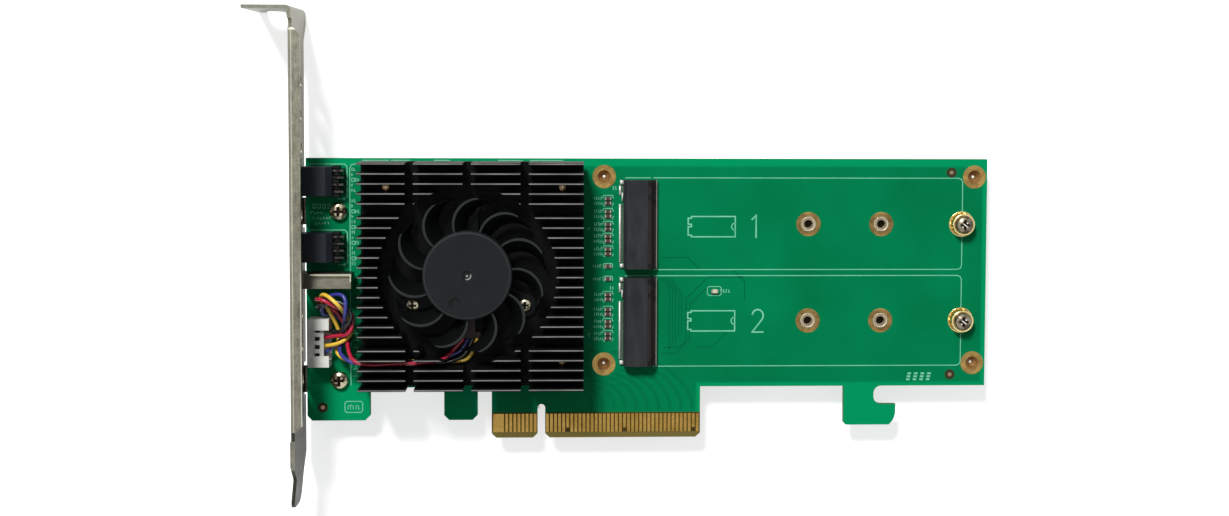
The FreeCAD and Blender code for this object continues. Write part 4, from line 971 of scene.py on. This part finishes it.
@trim("socket_tin", "tinned_leads", True)
def socket_solder(art):
    """Solder on each foot and corner tab, and the bright step behind the key."""
    left = socket_low[0]
    for middle in SOCKET_YS:
        for side in (-1, 1):
            y = middle + side * (SOCKET_HALF - CORNER_FROM_END)
            mound(art, left - 0.95, left, y - 0.58, y + 0.58, board_top, board_top + 0.62, 0.16)
        feet = foot_places(middle)
        for low, high in ((feet[0], feet[FEET_BELOW - 1]), (feet[-1], feet[FEET_BELOW])):
            mound(art, left - 1.14, left - 0.60, low - 0.2, high + 0.2, board_top,
                  board_top + 0.40, 0.10)
        key = middle + SOCKET_HALF - KEY_FROM_END
        box(art, left - 0.44, left - 0.14, key - 1.05, key + 1.05, board_top, board_top + 0.45)


@trim("port_plastic", "socket_plastic")
def socket_stops(art):
    """Dark ends of the slot and its key, seen as notches in each mouth: dark blocks that stand in
    for the notches' shade.
    """
    top = socket_high[2]
    for middle in SOCKET_YS:
        for y, half in ((middle + SOCKET_HALF - STOP_FROM_END, 0.62),
                        (middle + SOCKET_HALF - KEY_FROM_END, 0.62),
                        (middle - SOCKET_HALF + STOP_FROM_END, 0.55)):
            box(art, SOCKET_JAW - 1.05, SOCKET_JAW - 0.02, y - half, y + half, top - 0.9,
                top + 0.012)
            box(art, SOCKET_JAW + 0.01, SOCKET_JAW + 0.52, y - half, y + half, board_top + 1.1,
                top - 0.75)


# ---- linings of the holes and inserts
INSERT_DEPTH = 1.02
THREAD_RISE = 0.2
THREAD_FLOOR = 0.14
BORE_SIDES = 32
# Turned profiles: radius, and height above the board's top or bottom.
BARREL_LOW = ((1.595, -0.02), (0.28, -0.02), (0.46, 0.22))
BARREL_HIGH = ((1.02, -0.86), (1.34, -0.48), (1.58, -0.16), (1.74, 0.04), (1.86, 0.07),
               (1.92, 0.01))
INSERT_LIP = ((1.82, -0.005), (1.02, -1.00), (0.92, -0.98), (1.12, -0.62), (1.34, -0.20),
              (1.52, 0.10), (1.66, 0.21), (1.78, 0.17), (1.82, 0.01))


def above(z, profile):
    return [(radius, z + rise) for radius, rise in profile]


def turned_rings(art, places, profile, sides):
    """A closed ring at each place, turned from (radius, height) corners."""
    for x, y in places:
        rows = [row_of(art, circle(x, y, radius, sides), z) for radius, z in profile]
        for here, there in zip(rows, rows[1:] + rows[:1]):
            for i, j in around(sides):
                art.faces.new((here[i], there[i], there[j], here[j]))


@trim("barrel_gold", "gold_plating", True)
def hole_barrels(art):
    """Plated lining of each cover hole, which funnels to a narrower bore."""
    turned_rings(art, COVER_HOLES, [(1.595, board_top - 0.05), *above(board_bottom, BARREL_LOW),
                                    *above(board_top, BARREL_HIGH)], 48)


@trim("lip_metal", "insert_brass", True)
def insert_lips(art):
    """Lip and countersink on top of each threaded insert."""
    turned_rings(art, DRIVE_HOLES, above(board_top, INSERT_LIP), 48)


@trim("thread_shadow", "insert_brass")
def insert_threads(art):
    """One turn of thread in each insert, and the bore's dark bottom, both in a dark colour that
    stands in for the bore's shade.
    """
    top = board_top - INSERT_DEPTH
    for x, y in DRIVE_HOLES:
        rows = [row_of(art, circle(x, y, radius, BORE_SIDES), z) for radius, z in (
            (1.04, top), (0.86, top - THREAD_RISE), (1.04, board_bottom + THREAD_FLOOR))]
        for upper, lower in zip(rows, rows[1:]):
            wall(art, lower, upper)
        art.faces.new(rows[-1])


# ---- trim of the indicators, the port and the plug
GUIDE_STEP = 1.70
GUIDE_TOPS = (4.15, 3.55, 4.30, 3.70, 4.05)
GUIDE_BRIDGES = ((0.0, 0.5), (0.9, 1.5), (0.3, 1.0), (1.1, 1.7))
PORT_Y = 39.65
PORT_WIDTH = 3.50
PORT_FLARE = 0.45
PORT_FOLD = 0.14
PLUG_GAP_Y = (28.0, 29.3)


@trim("port_plastic", "led_housing")
def led_lead_guides(art):
    """Ribs of the LED housings that the leads lie between."""
    for node in ("led_block_lower", "led_block_upper"):
        low, high = edges_mm(node)
        back = high[0]
        for i, top in enumerate(GUIDE_TOPS):
            y = low[1] + 0.10 + i * GUIDE_STEP
            box(art, back - 0.05, back + 1.55 + 0.25 * (i % 2), y - 0.30, y + 0.30, board_top, top)
        box(art, back - 0.05, back + 0.75, low[1] + 0.2, high[1] - 0.2, board_top, 2.6)
        for i, (x0, x1) in enumerate(GUIDE_BRIDGES):
            y = low[1] + 0.95 + i * GUIDE_STEP
            box(art, back + x0, back + x1, y - 0.42, y + 0.42, 3.6, 4.22)


@trim("port_plastic", "port_plastic")
def plug_windows(art):
    """Dark windows over the plug's contacts, and the gap beside the plug: dark blocks that stand in
    for the shade in these openings.
    """
    left, top = plug_low[0], plug_high[2]
    for *_, route in LEADS.values():
        y = route[0][1]
        box(art, left + 0.30, left + 1.25, y - 0.48, y + 0.48, top - 0.5, top + 0.014)
    box(art, left + 1.45, left + 1.95, *PLUG_GAP_Y, top - 0.6, top + 0.012)


@trim("port_edge", "port_steel")
def port_rims(art):
    """Bright folded edges of the port's shell: a painted highlight."""
    low, high = edges_mm("port_shell")
    x = high[0] - PORT_FOLD
    y = PORT_Y + PORT_WIDTH / 2 - PORT_FOLD
    top = high[2] - PORT_FLARE
    stroke(art, [(low[0] + 2.6, y), (x, y), (x, PORT_Y - 0.1)], 0.24, top - 0.02, top + 0.05)


# ---- trim of the standoffs
STANDOFF_RING = ((2.55, -0.01), (2.55, 0.05), (3.05, 0.05), (3.22, -0.01))
# Painted glints on a standoff screw's recess: start, end and width.
GLINTS = ((-0.42, 0.32, 0.62, -0.50, 0.26), (0.40, 0.44, 0.72, 0.60, 0.32),
          (-0.72, -0.56, -0.46, -0.40, 0.26))


@trim("shoulder_brass", "gold_plating", True)
def standoff_rings(art):
    """Plated ring under each standoff."""
    turned_rings(art, STANDOFFS, above(board_top, STANDOFF_RING), 56)


@trim("shoulder_brass", "insert_brass", True)
def standoff_collars(art):
    """Rounded shoulder round the top of each standoff."""
    shoulder = arc(2.36, 2.86, 0.42, 0.42, 90, -20, 7)
    turned_rings(art, STANDOFFS, [(2.18, 3.02), (2.18, 3.20), *shoulder], 56)


@trim("bright_steel", "screw_steel")
def screw_glints(art):
    """Painted glints along the cross recess on each standoff screw."""
    top = edges_mm("drive_screws")[1][2] + 0.004
    for x, y in STANDOFFS:
        for x0, y0, x1, y1, width in GLINTS:
            stroke(art, [(x + x0, y + y0), (x + x1, y + y1)], width, top, top + 0.03)


# ---- making
# Name, dark and light colour, roughness range, CAD nodes (none if it's for trim), other settings.
PLAIN = (
    ("chip_substrate", (38, 78, 48), (50, 96, 60), (0.4, 0.55), "controller_substrate"),
    ("thermal_pad", (165, 169, 176), (188, 191, 197), (0.7, 0.9), "thermal_pad"),
    ("fan_plastic", (9, 11, 12), (14, 17, 18), (0.42, 0.55), "fan_base",
     dict(grain_mm=0.22, bump_mm=0.008, edge_mm=0.1, specular=0.08)),
    ("driver_laminate", (24, 14, 10), (36, 21, 14), (0.35, 0.5), "fan_driver_board",
     dict(specular=0.2)),
    ("bonded_magnet", (0.02, 0.02, 0.021), (0.035, 0.035, 0.036), (0.5, 0.7), "rotor_magnet"),
    ("connector_white", (210, 212, 206), (230, 230, 222), (0.35, 0.5), "fan_header",
     dict(edge_mm=0.1, bump_mm=0.006, specular=0.3)),
    ("plug_white", (200, 202, 197), (222, 222, 215), (0.35, 0.5), "fan_plug",
     dict(edge_mm=0.08, bump_mm=0.006, specular=0.3)),
    ("led_housing", (30, 33, 39), (42, 45, 52), (0.4, 0.55), "led_block_lower led_block_upper",
     dict(edge_mm=0.1, bump_mm=0.01, specular=0.12)),
    ("port_plastic", (14, 14, 14), (24, 24, 24), (0.4, 0.6), "port_insert", dict(specular=0.1)),
    ("capacitor_ceramic", (54, 36, 30), (88, 62, 50), (0.4, 0.6), "coupling_capacitors",
     dict(specular=0.3)),
    ("indicator_lens", (198, 192, 160), (216, 210, 182), (0.25, 0.4), "status_indicator"),
    ("printing_ink", (96, 192, 154), (136, 212, 178), (0.5, 0.7), "",
     dict(grain_mm=0.3, blotch_mm=4.0, bump_mm=0.006, specular=0.1)),
    ("covered_track", (0.0, 0.128, 0.05), (0.0, 0.146, 0.058), (0.28, 0.4), "",
     dict(grain_mm=0.5, blotch_mm=14.0, specular=0.04)),
    ("bare_laminate", (44, 44, 26), (58, 58, 34), (0.5, 0.7), "", dict(specular=0.1)),
    ("socket_tin", (196, 198, 190), (232, 233, 228), (0.35, 0.5), "",
     dict(metallic=0.3, grain_mm=0.5, bump_mm=0.01)),
    ("barrel_gold", (112, 78, 42), (168, 126, 74), (0.28, 0.44), "",
     dict(metallic=0.35, grain_mm=0.5, blotch_mm=1.6)),
    ("lip_metal", (168, 150, 122), (214, 200, 172), (0.22, 0.36), "",
     dict(metallic=0.15, grain_mm=0.5, specular=0.4)))
METALS = (
    ("gold_plating", (136, 106, 44), (182, 148, 80), (0.28, 0.42), "edge_contacts port_contacts"),
    ("chip_lid", (172, 172, 172), (194, 194, 193), (0.3, 0.45), "controller_lid"),
    ("bearing_bronze", (0.3, 0.2, 0.1), (0.42, 0.29, 0.15), (0.45, 0.6), "fan_bearing"),
    ("lamination_steel", (0.14, 0.14, 0.15), (0.22, 0.22, 0.23), (0.4, 0.6), "stator_core",
     dict(stretch=(1, 1, 6))),
    ("winding_copper", (0.35, 0.12, 0.04), (0.55, 0.22, 0.08), (0.3, 0.45), "stator_coils",
     dict(grain_mm=0.2, stretch=(1, 1, 5), bump_mm=0.03)),
    ("yoke_steel", (0.28, 0.28, 0.29), (0.4, 0.4, 0.41), (0.3, 0.45), "rotor_yoke"),
    ("shaft_steel", (0.5, 0.5, 0.5), (0.62, 0.62, 0.62), (0.1, 0.2), "fan_shaft"),
    ("tinned_leads", (206, 206, 202), (232, 232, 228), (0.22, 0.38), "header_pins m2_hold_downs"),
    ("foot_tin", (92, 92, 84), (138, 137, 128), (0.3, 0.5),
     "m2_socket_leads_lower m2_socket_leads_upper"),
    ("led_lead_steel", (14, 14, 13), (92, 90, 84), (0.26, 0.5), "led_leads",
     dict(grain_mm=0.45, bump_mm=0.03)),
    ("terminal_tin", (128, 128, 120), (172, 171, 162), (0.3, 0.5), "component_terminals"),
    ("port_steel", (52, 51, 44), (74, 72, 63), (0.42, 0.58), "port_shell",
     dict(stretch=(0.3, 1, 1), edge_mm=0.14, bump_mm=0.01)),
    ("insert_brass", (176, 138, 66), (226, 192, 116), (0.2, 0.34), "drive_standoffs",
     dict(edge_mm=0.08)),
    ("insert_tinned", (138, 126, 104), (172, 160, 136), (0.16, 0.28), "drive_inserts"),
    ("fiducial_copper", (112, 90, 70), (158, 134, 108), (0.3, 0.45), ""),
    ("thread_shadow", (26, 20, 14), (44, 34, 22), (0.4, 0.6), ""),
    ("contact_bronze", (20, 18, 16), (58, 53, 47), (0.3, 0.5), "", dict(grain_mm=0.3)),
    ("port_edge", (196, 192, 172), (228, 224, 204), (0.25, 0.4), ""),
    ("shoulder_brass", (190, 164, 104), (240, 222, 168), (0.16, 0.3), ""),
    ("bright_steel", (226, 222, 212), (244, 242, 234), (0.2, 0.35), ""))
# Screws: node, places, the recess's reach, half width and painted shade colour, and the rest's two
# colours.
SCREWS = {
    "bracket_screw_steel": ("bracket_screws", BRACKET_SCREWS, 1.23, 0.33, (34, 27, 20),
                            (66, 54, 38), (206, 194, 166)),
    "drive_screw_steel": ("drive_screws", STANDOFFS, 1.10, 0.30, (44, 36, 30), (84, 74, 62),
                          (146, 134, 116)),
    "fan_screw_steel": ("fan_screws", FAN_SCREWS, 0.90, 0.24, (26, 24, 20), (70, 64, 52),
                        (196, 188, 162))}


def dress():
    give(board_finish(), "circuit_board")
    give(sink_finish(), "heatsink")
    give(ring_finish(), "plated_rings")
    give(bracket_finish(), "bracket")
    give(pin_finish(), "push_pins")
    give(rotor_finish(), "impeller")
    give(lens_finish(), "led_lenses")
    give(socket_finish(), "m2_socket_lower", "m2_socket_upper")
    for name, (node, *screw) in SCREWS.items():
        give(screw_finish(name, *screw), node)
    looks = {}
    for make, table in ((finish, PLAIN), (metal, METALS)):
        for name, dark, light, roughness, nodes, *settings in table:
            looks[name] = make(name, dark, light, roughness, **dict(*settings))
            give(looks[name], *nodes.split())
    for build, look, slot, smooth in TRIM:
        add_trim(build, looks[look], smooth)


add_camera()
for lead in LEADS:
    add_lead(lead, *LEADS[lead])
dress()
add_world()
add_floor()
for lamp in LAMPS:
    add_lamp(lamp, *LAMPS[lamp])
